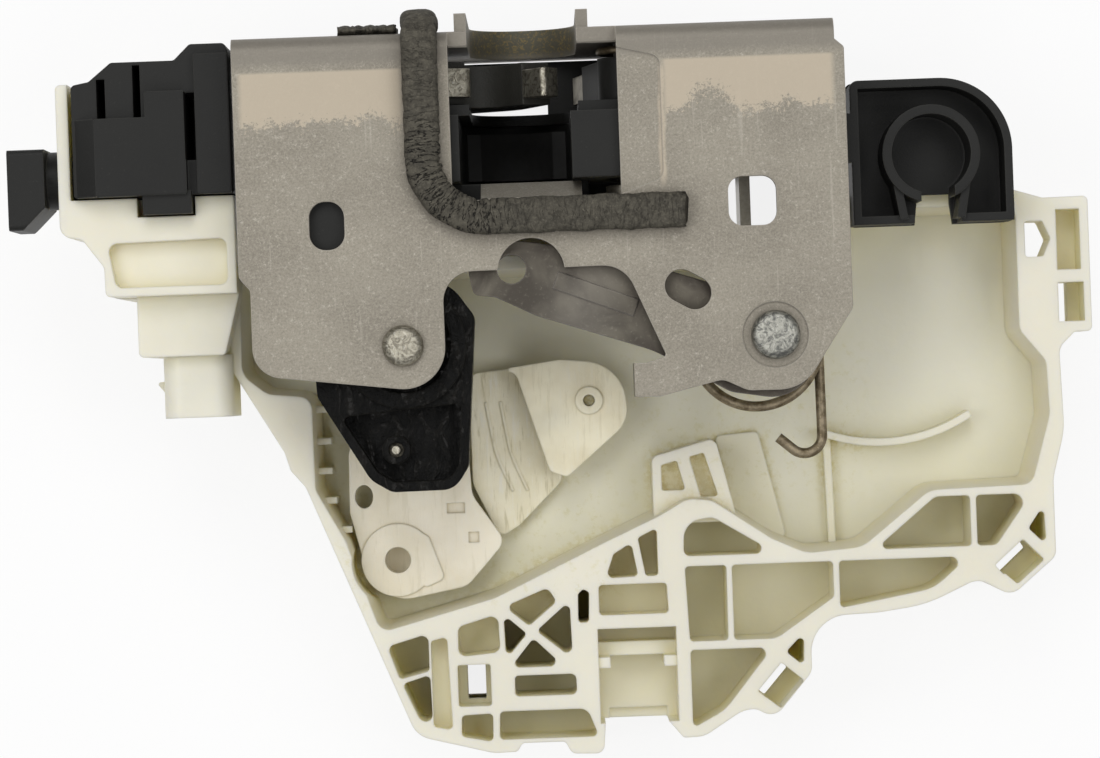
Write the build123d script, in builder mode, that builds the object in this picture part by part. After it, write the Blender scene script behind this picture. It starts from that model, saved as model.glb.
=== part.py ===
from build123d import *

import os
from math import cos, pi, radians, sin

# Side-door latch for a vehicle: a folded steel frame carries the claw and pawl, a ribbed moulded
# housing carries the levers and the lock drive, and a rear cover closes the gear space.
# The latch lies on its rear cover. +X is its long side, +Y points to the shut face (where the
# striker passes), +Z points away from the rear cover. Millimetres.

# ---------------------------------------------------------------- driving dimensions
# Levels along Z, from the rear cover up
cover_thickness = 2.0
floor_underside = 18.2
floor_level = 20.0
rim_level = 36.0
body_top = 50.0                 # top of the tall left end of the housing
plate_face = 60.0               # visible face of the steel frame
sheet = 2.2                     # frame sheet
plate_back = plate_face - sheet
housing_wall = 2.2

# Frame
plate_left = -55.9
plate_right = 55.6
plate_corner_step = 2.0
flange_face = 64.0              # outer side of the folded shut flange, along Y
flange_back = flange_face - sheet
flange_foot = 6.0
bend_radius = 3.0
slot_left, slot_right = -16.5, 14.2    # striker cut-out in the visible face
slot_foot = 33.0
mouth_centre = -3.0             # striker mouth in the shut flange
mouth_half = 10.0
mouth_floor = 12.0
collar_reach = 3.3
screw_radius = 2.5              # core hole of the three fixing threads
screw_boss_radius = 4.6
screw_boss_depth = 3.6
screw_boss_gap = 0.4            # between a boss and its notch in the housing
screws_at = [(-46.0, 46.0), (-46.0, 16.0), (44.0, 24.0)]

# Claw and pawl, which turn about Y just behind the shut flange
claw_x, claw_z = -27.5, 27.0
claw_pin_radius = 4.0
claw_travel = 55.0
claw_front = 59.0               # outer side of the plastic jackets
claw_back = 51.2
core_front = 57.6               # outer side of the steel cores
core_thickness = 5.2
jacket_wall = 1.4
bite_half = 6.0                 # half the width of the claw's striker slot
bite_u, bite_w = 22.7, -5.0     # striker centre seen from the claw pivot, door shut
pawl_x, pawl_z = 17.0, 42.0
pawl_pin_radius = 3.0
run_gap = 0.05                  # radial clearance of every shaft
back_plate_front = 50.8
back_plate_thickness = 2.0

# Latch housing around the mouth
guide_top = 57.6
guide_foot = 8.0
guide_left, guide_right = -50.0, 35.0
guide_low = 36.6                # lower side of the guide block, along Y
web_low = 32.8
guide_high = back_plate_front - back_plate_thickness
guide_wall = 2.0
guide_gap = 0.5                 # between the guide walls and the shut flange
channel_left, channel_right = -15.0, 5.5
channel_floor = 12.0
bumper_wall = 3.0
bumper_top = 18.0

# Levers behind the visible plate
release_x, release_y = 41.3, 6.6
release_shank = 3.4
release_head = 4.45
lever_sheet = 2.0
lever_level = 54.8
drum_radius = 7.0
spring_wire = 1.9
spring_x, spring_y, spring_coil = 38.4, 5.1, 11.6
spring_level = 43.2
lock_x, lock_y = -26.5, 7.0
lock_shank = 2.9
lock_head = 3.75
coupling_foot = 44.0
coupling_field = 49.0
coupling_top = 54.0

# Lock drive: lever above the floor, toothed sector and worm below it
gear_x, gear_y = -30.0, -33.2
pin_x, pin_y = -28.7, -12.0     # drive pin between the two lock levers
pin_radius = 1.4
pin_tip_radius = 0.8
pin_play = 0.6
shaft_radius = 5.1
heel_sweep = 8.4                # scallop in the tray wall round the lock lever's heel
lock_lever_foot = 24.0
lock_lever_top = 27.5
module = 1.0
gear_teeth = 32                 # teeth on the full circle that the sector is part of
gear_foot = 8.0
gear_thickness = 4.0
worm_radius = 3.5
worm_length = 13.0
worm_thread = 0.75
motor_width, motor_height, motor_length = 20.0, 15.0, 27.0
motor_gap = 6.0                 # from the worm's end to the motor can
shaft_wire = 1.0                # motor shaft radius

# Inside release
inside_x, inside_y = 7.2, -4.3
inside_post = 1.05
inside_foot = 27.8
inside_top = 30.0
link_pin_x, link_pin_y = -1.0, -8.0
link_pin_radius = 1.2
link_foot = 21.2
link_top = 23.4

# Cable holder
holder_foot = rim_level + 0.3
holder_top = 50.0
ring_x, ring_y = 71.7, 39.0
ring_bore = 7.3
ring_wall = 1.7
holder_wall = 1.5

# Left end: switch block, key lever and connector
block_foot = 28.3
block_level = 52.0
block_top = 55.0
recess_foot = 28.0
recess_low = 36.0
left_outer = -89.2
key_y, key_z = 40.2, 40.0
key_radius = 5.4
socket_left, socket_right = -72.0, -59.2
socket_foot, socket_top = 16.0, 42.0
socket_mouth = -4.8
socket_wall = 1.6
socket_depth = 13.0

# Soft pieces
seal_height = 4.6
seal_half = 3.4
strip_thickness = 2.0

os.makedirs("parts", exist_ok=True)


# ---------------------------------------------------------------- helpers
def level(z):
    """Plane across Z: extrusions rise from it."""
    return Plane.XY.offset(z)


def layer(y):
    """Plane across Y with local axes X and Z: extrusions run from it towards -Y."""
    return Plane.XZ.offset(-y)


def outline(plane, corners):
    """Closed face on a plane through corners (first axis, second axis, corner radius)."""
    with BuildSketch(plane) as face:
        with BuildLine():
            FilletPolyline([(a, b) for a, b, _ in corners], radius=[r for _, _, r in corners], close=True)
        make_face()
    return face.sketch


def prism(plane, depth, corners, mode=Mode.ADD):
    """Straight extrusion of an outline."""
    extrude(outline(plane, corners), amount=depth, mode=mode)


def box(x, y, z, mode=Mode.ADD):
    """Block given by its limits along the three axes."""
    with Locations(((x[0] + x[1]) / 2, (y[0] + y[1]) / 2, (z[0] + z[1]) / 2)):
        Box(x[1] - x[0], y[1] - y[0], z[1] - z[0], mode=mode)


def post(x, y, radius, foot, top, mode=Mode.ADD):
    """Cylinder along Z."""
    with BuildSketch(level(foot)) as disc:
        with Locations((x, y)):
            Circle(radius)
    extrude(disc.sketch, amount=top - foot, mode=mode)


def bar(x, z, radius, low, high, mode=Mode.ADD):
    """Cylinder along Y."""
    with BuildSketch(layer(high)) as disc:
        with Locations((x, z)):
            Circle(radius)
    extrude(disc.sketch, amount=high - low, mode=mode)


def rib(plane, height, width, points, radius=0, mode=Mode.ADD):
    """Wall of one width along a path of points."""
    with BuildSketch(plane) as wall:
        with BuildLine():
            if len(points) == 2:
                Line(*points)
            else:
                FilletPolyline(*points, radius=radius)
        trace(line_width=width)
    extrude(wall.sketch, amount=height, mode=mode)


def write(piece, name):
    """Labels one finished piece and writes its file."""
    piece.part.label = name
    export_step(piece.part, f"parts/{name}.step")


def u_shape(half, foot, top, centre=mouth_centre):
    """Corners of a U standing on a round foot, in X and Z."""
    near_half = 0.97 * half
    return [(centre - half, top, 0), (centre - half, foot, near_half),
            (centre + half, foot, near_half), (centre + half, top, 0)]


# ---------------------------------------------------------------- steel frame
fold_right = 53.9
fold_start = 60.0
stop_left, stop_right = 15.4, 17.6
plate_outline = [
    (plate_left, fold_start, 0), (plate_left, 20.3, 2), (plate_left + plate_corner_step, 18, 1),
    (plate_left + plate_corner_step, 2.5, 5.5), (-18.8, -1.9, 7.6), (-18.9, 20.1, 5.5),
    (14.2, 20.3, 6), (21.4, 3.4, 0.6), (stop_right, 2.3, 0), (stop_left, 2.3, 0), (stop_left, -3.9, 0.5), (20, -3.9, 1),
    (31.5, -1.2, 3), (36, -3.4, 4), (46, -3.5, 8), (plate_right, 11, 2),
    (plate_right, fold_start - 1.5, 0.8), (fold_right, fold_start, 0),
]
flange_top = plate_face - bend_radius - 1
flange_outline = [
    (plate_left, flange_top, 0), (plate_left, 12, 5), (-49, flange_foot, 5),
    (44, flange_foot, 8), (fold_right, 18, 8), (fold_right, flange_top, 0),
]
fold_section = [
    (fold_start, plate_face, 0), (flange_face, plate_face, bend_radius), (flange_face, flange_top, 0),
    (flange_back, flange_top, 0), (flange_back, plate_back, 0.8), (fold_start, plate_back, 0),
]
with BuildPart() as frame_plate:
    prism(level(plate_back), sheet, plate_outline)
    prism(layer(flange_face), sheet, flange_outline)
    prism(Plane.YZ.offset(plate_left), fold_right - plate_left, fold_section)
    # flared collar round the mouth on the shut side
    prism(layer(flange_face + collar_reach), collar_reach, u_shape(mouth_half + sheet, mouth_floor - sheet, 57))
    prism(layer(flange_face + collar_reach + 1), collar_reach + sheet + 2, u_shape(mouth_half, mouth_floor, 70),
          mode=Mode.SUBTRACT)
    box((slot_left, slot_right), (slot_foot, flange_face + 10), (plate_back, plate_face + 1), mode=Mode.SUBTRACT)
    # lead-in ledge that folds down into the mouth
    with BuildSketch(Plane.YZ.offset(-11.4)) as ledge:
        with BuildLine():
            Polyline((slot_foot - 2, plate_face), (slot_foot + 0.2, plate_face), (36.3, 50.5), (34.2, 50),
                     (slot_foot - 2, plate_back), close=True)
        make_face()
    extrude(ledge.sketch, amount=18.5)
    # stop tab folded back from the lower edge
    box((stop_left, stop_right), (-3.9, 2.3), (46, plate_back))
    # openings of the visible face
    with BuildSketch(level(plate_back)) as openings:
        with Locations((-2.7, 19.7)):
            Circle(6.1)
        with Locations((-39.55, 29.3)):
            RectangleRounded(6.4, 8.8, 2.9)
        with Locations((38.0, 31.1)):
            RectangleRounded(8.8, 9.0, 2.6)
        with Locations((25.7, 15.4)):
            SlotCenterToCenter(2.8, 6.0, rotation=-30)
        with Locations((lock_x, lock_y)):
            Circle(lock_shank + run_gap)
        with Locations((release_x, release_y)):
            Circle(release_shank + run_gap)
    extrude(openings.sketch, amount=sheet, mode=Mode.SUBTRACT)
    # dished seat of the right rivet and the coined step beside the mouth
    post(release_x, release_y, 6.0, plate_face - 0.4, plate_face + 1, mode=Mode.SUBTRACT)
    prism(level(plate_face - 0.35), 1, [(14, slot_foot, 0), (22, slot_foot + 3, 2), (22, 58, 2), (14, 60, 0)],
          mode=Mode.SUBTRACT)
    # threaded bosses and pivot seats of the shut flange
    for x, z in screws_at:
        bar(x, z, screw_boss_radius, flange_back - screw_boss_depth, flange_back)
        bar(x, z, screw_radius, 50, flange_face + 1, mode=Mode.SUBTRACT)
    bar(claw_x, claw_z, claw_pin_radius + run_gap, 50, 70, mode=Mode.SUBTRACT)
    bar(pawl_x, pawl_z, pawl_pin_radius + run_gap, 50, 70, mode=Mode.SUBTRACT)
write(frame_plate, "frame_plate")

with BuildPart() as back_plate:
    prism(layer(back_plate_front), back_plate_thickness, [
        (guide_left + guide_wall + 0.6, 14, 5), (-30, 12.4, 8), (guide_right - guide_wall - 0.4, 12.4, 5),
        (guide_right - guide_wall - 0.4, 54, 6), (guide_left + guide_wall + 0.6, 54, 6)])
    # ear through the housing wall, folded towards the plate's square window
    box((guide_right - guide_wall - 1, 38.4), (guide_high, back_plate_front), (28, 43))
    box((36.4, 38.4), (27, back_plate_front), (28, 43))
    prism(layer(back_plate_front + 1), 4, u_shape(mouth_half, mouth_floor + 3, 70), mode=Mode.SUBTRACT)
    bar(claw_x, claw_z, claw_pin_radius + run_gap, 45, 70, mode=Mode.SUBTRACT)
    bar(pawl_x, pawl_z, pawl_pin_radius + run_gap, 45, 70, mode=Mode.SUBTRACT)
write(back_plate, "back_plate")

# ---------------------------------------------------------------- housing around the mouth
with BuildPart() as latch_housing:
    box((guide_left, guide_right), (guide_low, guide_high), (guide_foot, guide_top))
    # foot on the left that reaches down behind the oval window
    box((guide_left, -21), (24, guide_low), (24, guide_top))
    # tray walls that reach up to the shut flange
    box((guide_left, guide_right), (guide_high, flange_back - guide_gap), (guide_foot, guide_foot + guide_wall))
    box((guide_left, guide_left + guide_wall), (guide_high, flange_back - guide_gap), (guide_foot, guide_top))
    box((guide_right - guide_wall, guide_right), (guide_high, flange_back - guide_gap), (guide_foot, guide_top))
    # striker channel with its two guide columns
    channel_mid = (channel_left + channel_right) / 2
    channel_half = (channel_right - channel_left) / 2
    prism(layer(guide_high + 1), guide_high - guide_low + 2,
          u_shape(channel_half, channel_floor, 70, channel_mid), mode=Mode.SUBTRACT)
    # relief slots of the guide block
    for x in (-44, -38, -32, -26):
        box((x, x + 3.2), (40, 46), (30, guide_top + 1), mode=Mode.SUBTRACT)
    box((24, 31), (40, 46), (30, guide_top + 1), mode=Mode.SUBTRACT)
    # slot for the ear of the back plate
    box((guide_right - guide_wall - 1, guide_right + 1), (guide_high - 0.2, back_plate_front + 0.3),
        (27.7, 43.3), mode=Mode.SUBTRACT)
    bar(pawl_x, pawl_z, pawl_pin_radius + 0.3, 30, guide_high, mode=Mode.SUBTRACT)
    # slot in the lower wall that the closed claw reaches into, and the web that ends the channel
    box((-24, 1.5), (claw_back - 0.4, claw_front + 0.4), (guide_foot - 1, guide_foot + guide_wall + 1),
        mode=Mode.SUBTRACT)
    box((-17, 8.5), (web_low, guide_low), (guide_foot, 44))
    box((8.5, 16), (web_low, guide_low), (guide_foot, 32))
    # square notches in the left wall for the threaded bosses
    notch = screw_boss_radius + screw_boss_gap
    notch_foot = flange_back - screw_boss_depth - screw_boss_gap
    for x, z in screws_at:
        box((x - notch, x + notch), (notch_foot, flange_back), (z - notch, z + notch), mode=Mode.SUBTRACT)
write(latch_housing, "latch_housing")

with BuildPart() as striker_bumper:
    prism(layer(guide_high - 1.5), 9, u_shape(channel_half - run_gap, channel_floor + run_gap, 40, channel_mid))
    box((channel_left, channel_right), (30, 60), (bumper_top, 45), mode=Mode.SUBTRACT)
    bar(channel_mid, channel_floor + bumper_wall + 9.3, 9.3, 30, 60, mode=Mode.SUBTRACT)
write(striker_bumper, "striker_bumper")

with BuildPart() as claw_pin:
    bar(claw_x, claw_z, claw_pin_radius, guide_high, flange_face + 1.4)
    bar(claw_x, claw_z, claw_pin_radius + 2.2, flange_face, flange_face + 1.6)
    fillet(claw_pin.edges().group_by(Axis.Y)[-1], radius=0.7)
write(claw_pin, "claw_pin")

with BuildPart() as pawl_shaft:
    bar(pawl_x, pawl_z, pawl_pin_radius, 33.0, flange_face + 0.5)
    chamfer(pawl_shaft.edges().group_by(Axis.Y)[-1], length=0.5)
write(pawl_shaft, "pawl_shaft")


# ---------------------------------------------------------------- claw
def claw_plane(y):
    """Sketch plane that turns with the claw: the first axis points at the striker, door shut."""
    turn = radians(claw_travel)
    return Plane(origin=(claw_x, y, claw_z), x_dir=(cos(turn), 0, sin(turn)), z_dir=(0, -1, 0))


bite_end = bite_u - bite_half
claw_outline = [
    (-12, -10.5, 8), (-12, 12, 10), (7, 11.6, 6), (28, 9.6, 2.4), (28.4, bite_w + bite_half, 1.6),
    (bite_end, bite_w + bite_half, 5.2), (bite_end, bite_w - bite_half, 5.2),
    (33.3, bite_w - bite_half - 0.2, 0.8), (31.3, -16.2, 2.5), (12, -20.2, 8), (-3, -12.6, 8),
]


def steel_core(plane, corners, tips):
    """Core plate: the moulded outline less the jacket wall, with bare tips out to the outline."""
    full = outline(plane, corners)
    core = offset(full, amount=-jacket_wall, mode=Mode.PRIVATE)
    for tip in tips:
        core = core + (full & outline(plane, tip))
    return core


claw_tips = [
    [(25.6, 0.5, 0), (40, 0.5, 0), (40, 14, 0), (25.6, 14, 0)],
    [(26.6, -24, 0), (40, -24, 0), (40, -10, 0), (26.6, -10, 0)],
]
with BuildPart() as claw_core:
    extrude(steel_core(claw_plane(core_front), claw_outline, claw_tips), amount=core_thickness)
    bar(claw_x, claw_z, claw_pin_radius + run_gap, 45, 70, mode=Mode.SUBTRACT)
write(claw_core, "claw_core")

with BuildPart() as claw_jacket:
    prism(claw_plane(claw_front), claw_front - claw_back, claw_outline)
    for tip in claw_tips:
        prism(claw_plane(claw_front + 1), 12, tip, mode=Mode.SUBTRACT)
    add(claw_core.part, mode=Mode.SUBTRACT)
    bar(claw_x, claw_z, claw_pin_radius + 0.4, 45, 70, mode=Mode.SUBTRACT)
write(claw_jacket, "claw_jacket")

# ---------------------------------------------------------------- pawl
nose_left = claw_x + 33.8
pawl_outline = [
    (nose_left, 14.3, 0.6), (nose_left + 2.2, 25, 4), (11.2, 37, 4), (10.6, 48.4, 6), (18, 49, 5),
    (31, 46.8, 1.8), (31.2, 42.2, 1.8), (22.8, 36.5, 4), (15.5, 24, 4), (13, 15.2, 1),
]
nose = [[(0, 10, 0), (20, 10, 0), (20, 23.5, 0), (0, 23.5, 0)]]
with BuildPart() as pawl_core:
    extrude(steel_core(layer(core_front), pawl_outline, nose), amount=core_thickness)
    bar(pawl_x, pawl_z, pawl_pin_radius, 45, 70, mode=Mode.SUBTRACT)
write(pawl_core, "pawl_core")

with BuildPart() as pawl_jacket:
    prism(layer(claw_front), claw_front - claw_back, pawl_outline)
    prism(layer(claw_front + 1), 12, nose[0], mode=Mode.SUBTRACT)
    add(pawl_core.part, mode=Mode.SUBTRACT)
    bar(pawl_x, pawl_z, pawl_pin_radius, 45, 70, mode=Mode.SUBTRACT)
write(pawl_jacket, "pawl_jacket")

with BuildPart() as pawl_lever:
    prism(layer(35.4), lever_sheet, [(11.5, 37, 4.5), (22, 36.5, 4.5), (31, 47, 2), (29, 51, 2), (12, 47.5, 4.5)])
    bar(pawl_x, pawl_z, pawl_pin_radius, 30, 40, mode=Mode.SUBTRACT)
write(pawl_lever, "pawl_lever")


def wire_section(x, z, coil, wire, y, angle):
    """Round section of a coiled wire at one angle of the coil, facing along the wire."""
    turn = radians(angle)
    with BuildSketch(Plane(origin=(x + coil * cos(turn), y, z + coil * sin(turn)),
                           x_dir=(0, 1, 0), z_dir=(-sin(turn), 0, cos(turn)))) as disc:
        Circle(wire / 2)
    return disc.sketch


def torsion_spring(x, z, coil, wire, y, start, turned, leg):
    """One open turn of wire about Y with a straight leg at each end."""
    first = wire_section(x, z, coil, wire, y, start)
    revolve(first, axis=Axis((x, y, z), (0, -1, 0)), revolution_arc=turned)
    extrude(first, amount=-leg)
    extrude(wire_section(x, z, coil, wire, y, start + turned), amount=leg)


with BuildPart() as claw_spring:
    torsion_spring(claw_x, claw_z, 8.0, 1.6, 60.4, 200, 290, 7)
write(claw_spring, "claw_spring")

with BuildPart() as pawl_spring:
    torsion_spring(pawl_x, pawl_z, 5.6, 1.4, 60.4, 40, 280, 6)
write(pawl_spring, "pawl_spring")

# ---------------------------------------------------------------- rivets, release lever and its spring
with BuildPart() as lock_rivet:
    post(lock_x, lock_y, lock_shank, 36.2, plate_face)
    post(lock_x, lock_y, lock_head, plate_face, plate_face + 2.4)
    fillet(lock_rivet.edges().group_by(Axis.Z)[-1], radius=1.8)
write(lock_rivet, "lock_rivet")

with BuildPart() as release_rivet:
    post(release_x, release_y, release_shank, 36.2, plate_face)
    post(release_x, release_y, release_head, plate_face - 0.4, plate_face + 2.6)
    fillet(release_rivet.edges().group_by(Axis.Z)[-1], radius=1.6)
write(release_rivet, "release_rivet")

release_outline = [
    (-13.4, 15.8, 1.5), (-9.4, 15.3, 3), (-2, 11.6, 6), (19.2, 4.5, 20), (33, -3.6, 6), (45, -5.6, 8),
    (51, 6, 7), (44, 15.5, 8), (30, 16.5, 10), (12, 22.5, 8), (-8, 26, 5), (-14.6, 22, 4),
]
rod_x, rod_y, rod_radius = -6.3, 20.3, 2.65
with BuildPart() as release_lever:
    prism(level(lever_level), lever_sheet, release_outline)
    # raised bead along the arm
    with BuildSketch(level(lever_level + lever_sheet)) as bead:
        with BuildLine():
            Line((1.7, 18.0), (16.2, 12.4))
        trace(line_width=3.2)
    extrude(bead.sketch, amount=0.3)
    post(release_x, release_y, release_shank + run_gap, 50, 60, mode=Mode.SUBTRACT)
    post(rod_x, rod_y, rod_radius, 50, 60, mode=Mode.SUBTRACT)
write(release_lever, "release_lever")

with BuildPart() as release_spring:
    with BuildLine(level(spring_level)) as leg_and_turn:
        leg = FilletPolyline((42.0, -12.4), (50.2, -19.4), (spring_x + spring_coil, spring_y), radius=3.3)
        CenterArc((spring_x, spring_y), spring_coil, 0, 330)
    with BuildSketch(Plane(origin=leg @ 0, z_dir=leg % 0)) as wire_section:
        Circle(spring_wire / 2)
    sweep(wire_section.sketch, path=leg_and_turn.wire())
    # the second turn lies on the first
    with Locations((spring_x, spring_y, spring_level + spring_wire + 0.15)):
        Torus(spring_coil, spring_wire / 2)
write(release_spring, "release_spring")

# ---------------------------------------------------------------- lock levers
coupling_outline = [
    (-43.2, 6, 5), (-42.7, -1.8, 1.5), (-33.4, -17.4, 5), (-29.6, -19.7, 3), (-18.2, -19.6, 4),
    (-15.5, -15.5, 3), (-13.4, 12, 3), (-18, 18.5, 6), (-34, 18.5, 8),
]
with BuildPart() as coupling_lever:
    prism(level(coupling_foot), coupling_top - coupling_foot, coupling_outline)
    # recessed field with its rim, below the arc rib round the rivet
    prism(level(coupling_field), 10, [
        (-38.6, -5.6, 1), (-32.2, -16, 2.5), (-29.2, -17.9, 2), (-18.8, -17.8, 3), (-17.2, -15, 2),
        (-16.4, -3.8, 1)], mode=Mode.SUBTRACT)
    post(lock_x, lock_y, 9.4, coupling_field, coupling_top)
    post(lock_x, lock_y, 11.4, coupling_top, coupling_top + 1.2)
    post(lock_x, lock_y, 8.6, coupling_top - 1.0, coupling_top + 2, mode=Mode.SUBTRACT)
    post(lock_x, lock_y, 5.4, coupling_foot, coupling_top + 3.2)
    # boss of the drive pin
    post(pin_x, pin_y, 2.6, coupling_field, coupling_top - 1.6)
    post(pin_x, pin_y, pin_radius, coupling_foot - 1, coupling_top + 1, mode=Mode.SUBTRACT)
    post(lock_x, lock_y, lock_shank + run_gap, 40, 60, mode=Mode.SUBTRACT)
write(coupling_lever, "coupling_lever")

with BuildPart() as coupling_pin:
    post(pin_x, pin_y, pin_radius, lock_lever_foot - 0.4, coupling_field + 1)
    post(pin_x, pin_y, pin_tip_radius, coupling_field + 1, coupling_top - 0.9)
write(coupling_pin, "coupling_pin")

lock_outline = [
    (-38.6, -9.5, 4), (-38.8, -24, 4), (-37.3, -30, 6), (-35.6, -37.5, 5), (-30, -41, 8),
    (-17, -38.6, 4), (-9.6, -30.4, 2.5), (-15.6, -21.4, 5), (-16.2, -9, 4),
]
with BuildPart() as lock_lever:
    prism(level(lock_lever_foot), lock_lever_top - lock_lever_foot, lock_outline)
    post(gear_x, gear_y, 6.9, floor_level + 0.6, lock_lever_top + 0.5)
    post(gear_x, gear_y, shaft_radius, gear_foot + gear_thickness, lock_lever_top)
    post(gear_x, gear_y, shaft_radius - 1.1, gear_foot, lock_lever_top)
    prism(level(lock_lever_top), 0.5, [(-27.2, -27, 0), (-24, -29, 1), (-21.2, -37, 1.2), (-25.5, -38.8, 1)])
    post(gear_x, gear_y, 2.45, floor_level + 2, 40, mode=Mode.SUBTRACT)
    # two shallow witness windows of the mould
    box((-20.4, -17.0), (-24.7, -22.8), (lock_lever_top - 0.7, 30), mode=Mode.SUBTRACT)
    box((-16.5, -14.5), (-30.4, -28.4), (lock_lever_top - 0.7, 30), mode=Mode.SUBTRACT)
    # slot of the drive pin and the oval lightening hole
    box((pin_x - pin_radius - pin_play / 2, pin_x + pin_radius + pin_play / 2), (pin_y - 3.2, pin_y + 3.2),
        (20, 30), mode=Mode.SUBTRACT)
    with BuildSketch(level(lock_lever_foot)) as oval:
        with Locations((-36.0, -21.0)):
            Ellipse(1.7, 2.2)
    extrude(oval.sketch, amount=5, mode=Mode.SUBTRACT)
write(lock_lever, "lock_lever")

# toothed sector: teeth stand on a fan-shaped plate
gear_pitch = module * gear_teeth / 2
tooth_step = 360 / gear_teeth
tooth_half = 0.2 * module * pi / 2
with BuildPart() as lock_gear:
    with BuildSketch(level(gear_foot)) as fan:
        with Locations((gear_x, gear_y)):
            Circle(gear_pitch - module)
        with BuildLine():
            Polyline((gear_x - 9, gear_y + gear_pitch), (gear_x + 9, gear_y + gear_pitch),
                     (gear_x + 5, gear_y - 3), (gear_x - 5, gear_y - 3), close=True)
        make_face(mode=Mode.INTERSECT)
        with Locations((gear_x, gear_y)):
            Circle(shaft_radius + 2)
        for count in range(-2, 3):
            with Locations(Location((gear_x, gear_y, 0), (0, 0, 1), count * tooth_step)):
                with Locations((0, gear_pitch - 0.4 * module)):
                    Trapezoid(2.6 * tooth_half * 2, 2.2 * module, 78)
    extrude(fan.sketch, amount=gear_thickness)
    post(gear_x, gear_y, shaft_radius - 1.1, 0, 20, mode=Mode.SUBTRACT)
write(lock_gear, "lock_gear")

worm_y = gear_y + gear_pitch + worm_radius
worm_z = gear_foot + gear_thickness / 2
worm_left = gear_x - worm_length / 2
can_left = worm_left + worm_length + motor_gap
can_right = can_left + motor_length
with BuildPart() as worm:
    with BuildSketch(Plane.YZ.offset(worm_left)) as worm_core:
        with Locations((worm_y, worm_z)):
            Circle(worm_radius - module)
    extrude(worm_core.sketch, amount=worm_length)
    with BuildLine() as thread_path:
        Helix(pitch=module * pi, height=worm_length - 2.2, radius=worm_radius - module,
              center=(worm_left + 1.1, worm_y, worm_z), direction=(1, 0, 0))
    with BuildSketch(Plane(origin=thread_path.wire() @ 0, x_dir=(1, 0, 0), z_dir=thread_path.wire() % 0)) as thread:
        Trapezoid(worm_thread, 2 * module, 82)
    sweep(thread.sketch, path=thread_path.wire(), is_frenet=True)
    with BuildSketch(Plane.YZ.offset(worm_left - 1)) as worm_bore:
        with Locations((worm_y, worm_z)):
            Circle(shaft_wire)
    extrude(worm_bore.sketch, amount=worm_length + 2, mode=Mode.SUBTRACT)
write(worm, "worm")


def rod_x_axis(radius, left, right, mode=Mode.ADD):
    """Cylinder on the worm's axis."""
    with BuildSketch(Plane.YZ.offset(left)) as disc:
        with Locations((worm_y, worm_z)):
            Circle(radius)
    extrude(disc.sketch, amount=right - left, mode=mode)


with BuildPart() as motor_shaft:
    rod_x_axis(shaft_wire, worm_left - 2, can_left + 6)
write(motor_shaft, "motor_shaft")

with BuildPart() as motor_can:
    with BuildSketch(Plane.YZ.offset(can_left)) as can_section:
        with Locations((worm_y, worm_z + 0.1)):
            Rectangle(motor_width, motor_height)
        fillet(can_section.vertices(), radius=5)
    extrude(can_section.sketch, amount=motor_length)
    rod_x_axis(3.2, can_left - 1.5, can_left)
    rod_x_axis(shaft_wire + run_gap, can_left - 3, can_left + 6.5, mode=Mode.SUBTRACT)
write(motor_can, "motor_can")

with BuildPart() as motor_end_cap:
    with BuildSketch(Plane.YZ.offset(can_right)) as cap_section:
        with Locations((worm_y, worm_z + 0.1)):
            Rectangle(motor_width - 0.6, motor_height - 0.6)
        fillet(cap_section.vertices(), radius=4.6)
    extrude(cap_section.sketch, amount=2.4)
    for side in (-5, 5):
        box((can_right + 2.4, can_right + 6), (worm_y + side - 1.4, worm_y + side + 1.4), (worm_z - 0.3, worm_z + 0.3))
write(motor_end_cap, "motor_end_cap")

# ---------------------------------------------------------------- inside release lever and its link
inside_outline = [
    (-9.0, 2.2, 0.4), (2, 3.6, 3), (13.5, 2.4, 8), (14.6, -8.5, 6), (2.6, -18.6, 1.2), (-0.6, -17.4, 1.2),
    (-6.4, 1.2, 2),
]
with BuildPart() as inside_lever:
    prism(level(inside_foot), inside_top - inside_foot, inside_outline)
    post(inside_x, inside_y, 2.6, inside_top, inside_top + 0.6)
    post(inside_x, inside_y, 4.0, link_top + 0.3, inside_foot)
    post(inside_x, inside_y, inside_post + run_gap, 15, 40, mode=Mode.SUBTRACT)
    # groove on the underside for the pin of the link, open at the lever's edge
    with BuildSketch(Plane(origin=(link_pin_x, link_pin_y, inside_foot),
                           x_dir=(inside_x - link_pin_x, inside_y - link_pin_y, 0), z_dir=(0, 0, 1))) as groove:
        SlotOverall(7.0, 2 * (link_pin_radius + 0.25))
    extrude(groove.sketch, amount=1.4, mode=Mode.SUBTRACT)
write(inside_lever, "inside_lever")

link_outline = [
    (-15.4, 1.5, 2), (-15.4, -19.5, 5), (-10.6, -29.8, 1.5), (-6.8, -27.6, 1.5), (1.4, -19.6, 2),
    (2.6, -8, 4), (-4.5, 2.5, 3),
]
with BuildPart() as link_plate:
    prism(level(link_foot), link_top - link_foot, link_outline)
    post(link_pin_x, link_pin_y, link_pin_radius, link_top, inside_foot + 1.1)
    # shallow stiffening beads along the blade
    for x in (-12.4, -9.6):
        rib(level(link_top), 0.3, 0.5, [(x, -4), (x + 1.6, -14), (x + 4.6, -21)], radius=20)
write(link_plate, "link_plate")

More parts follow.
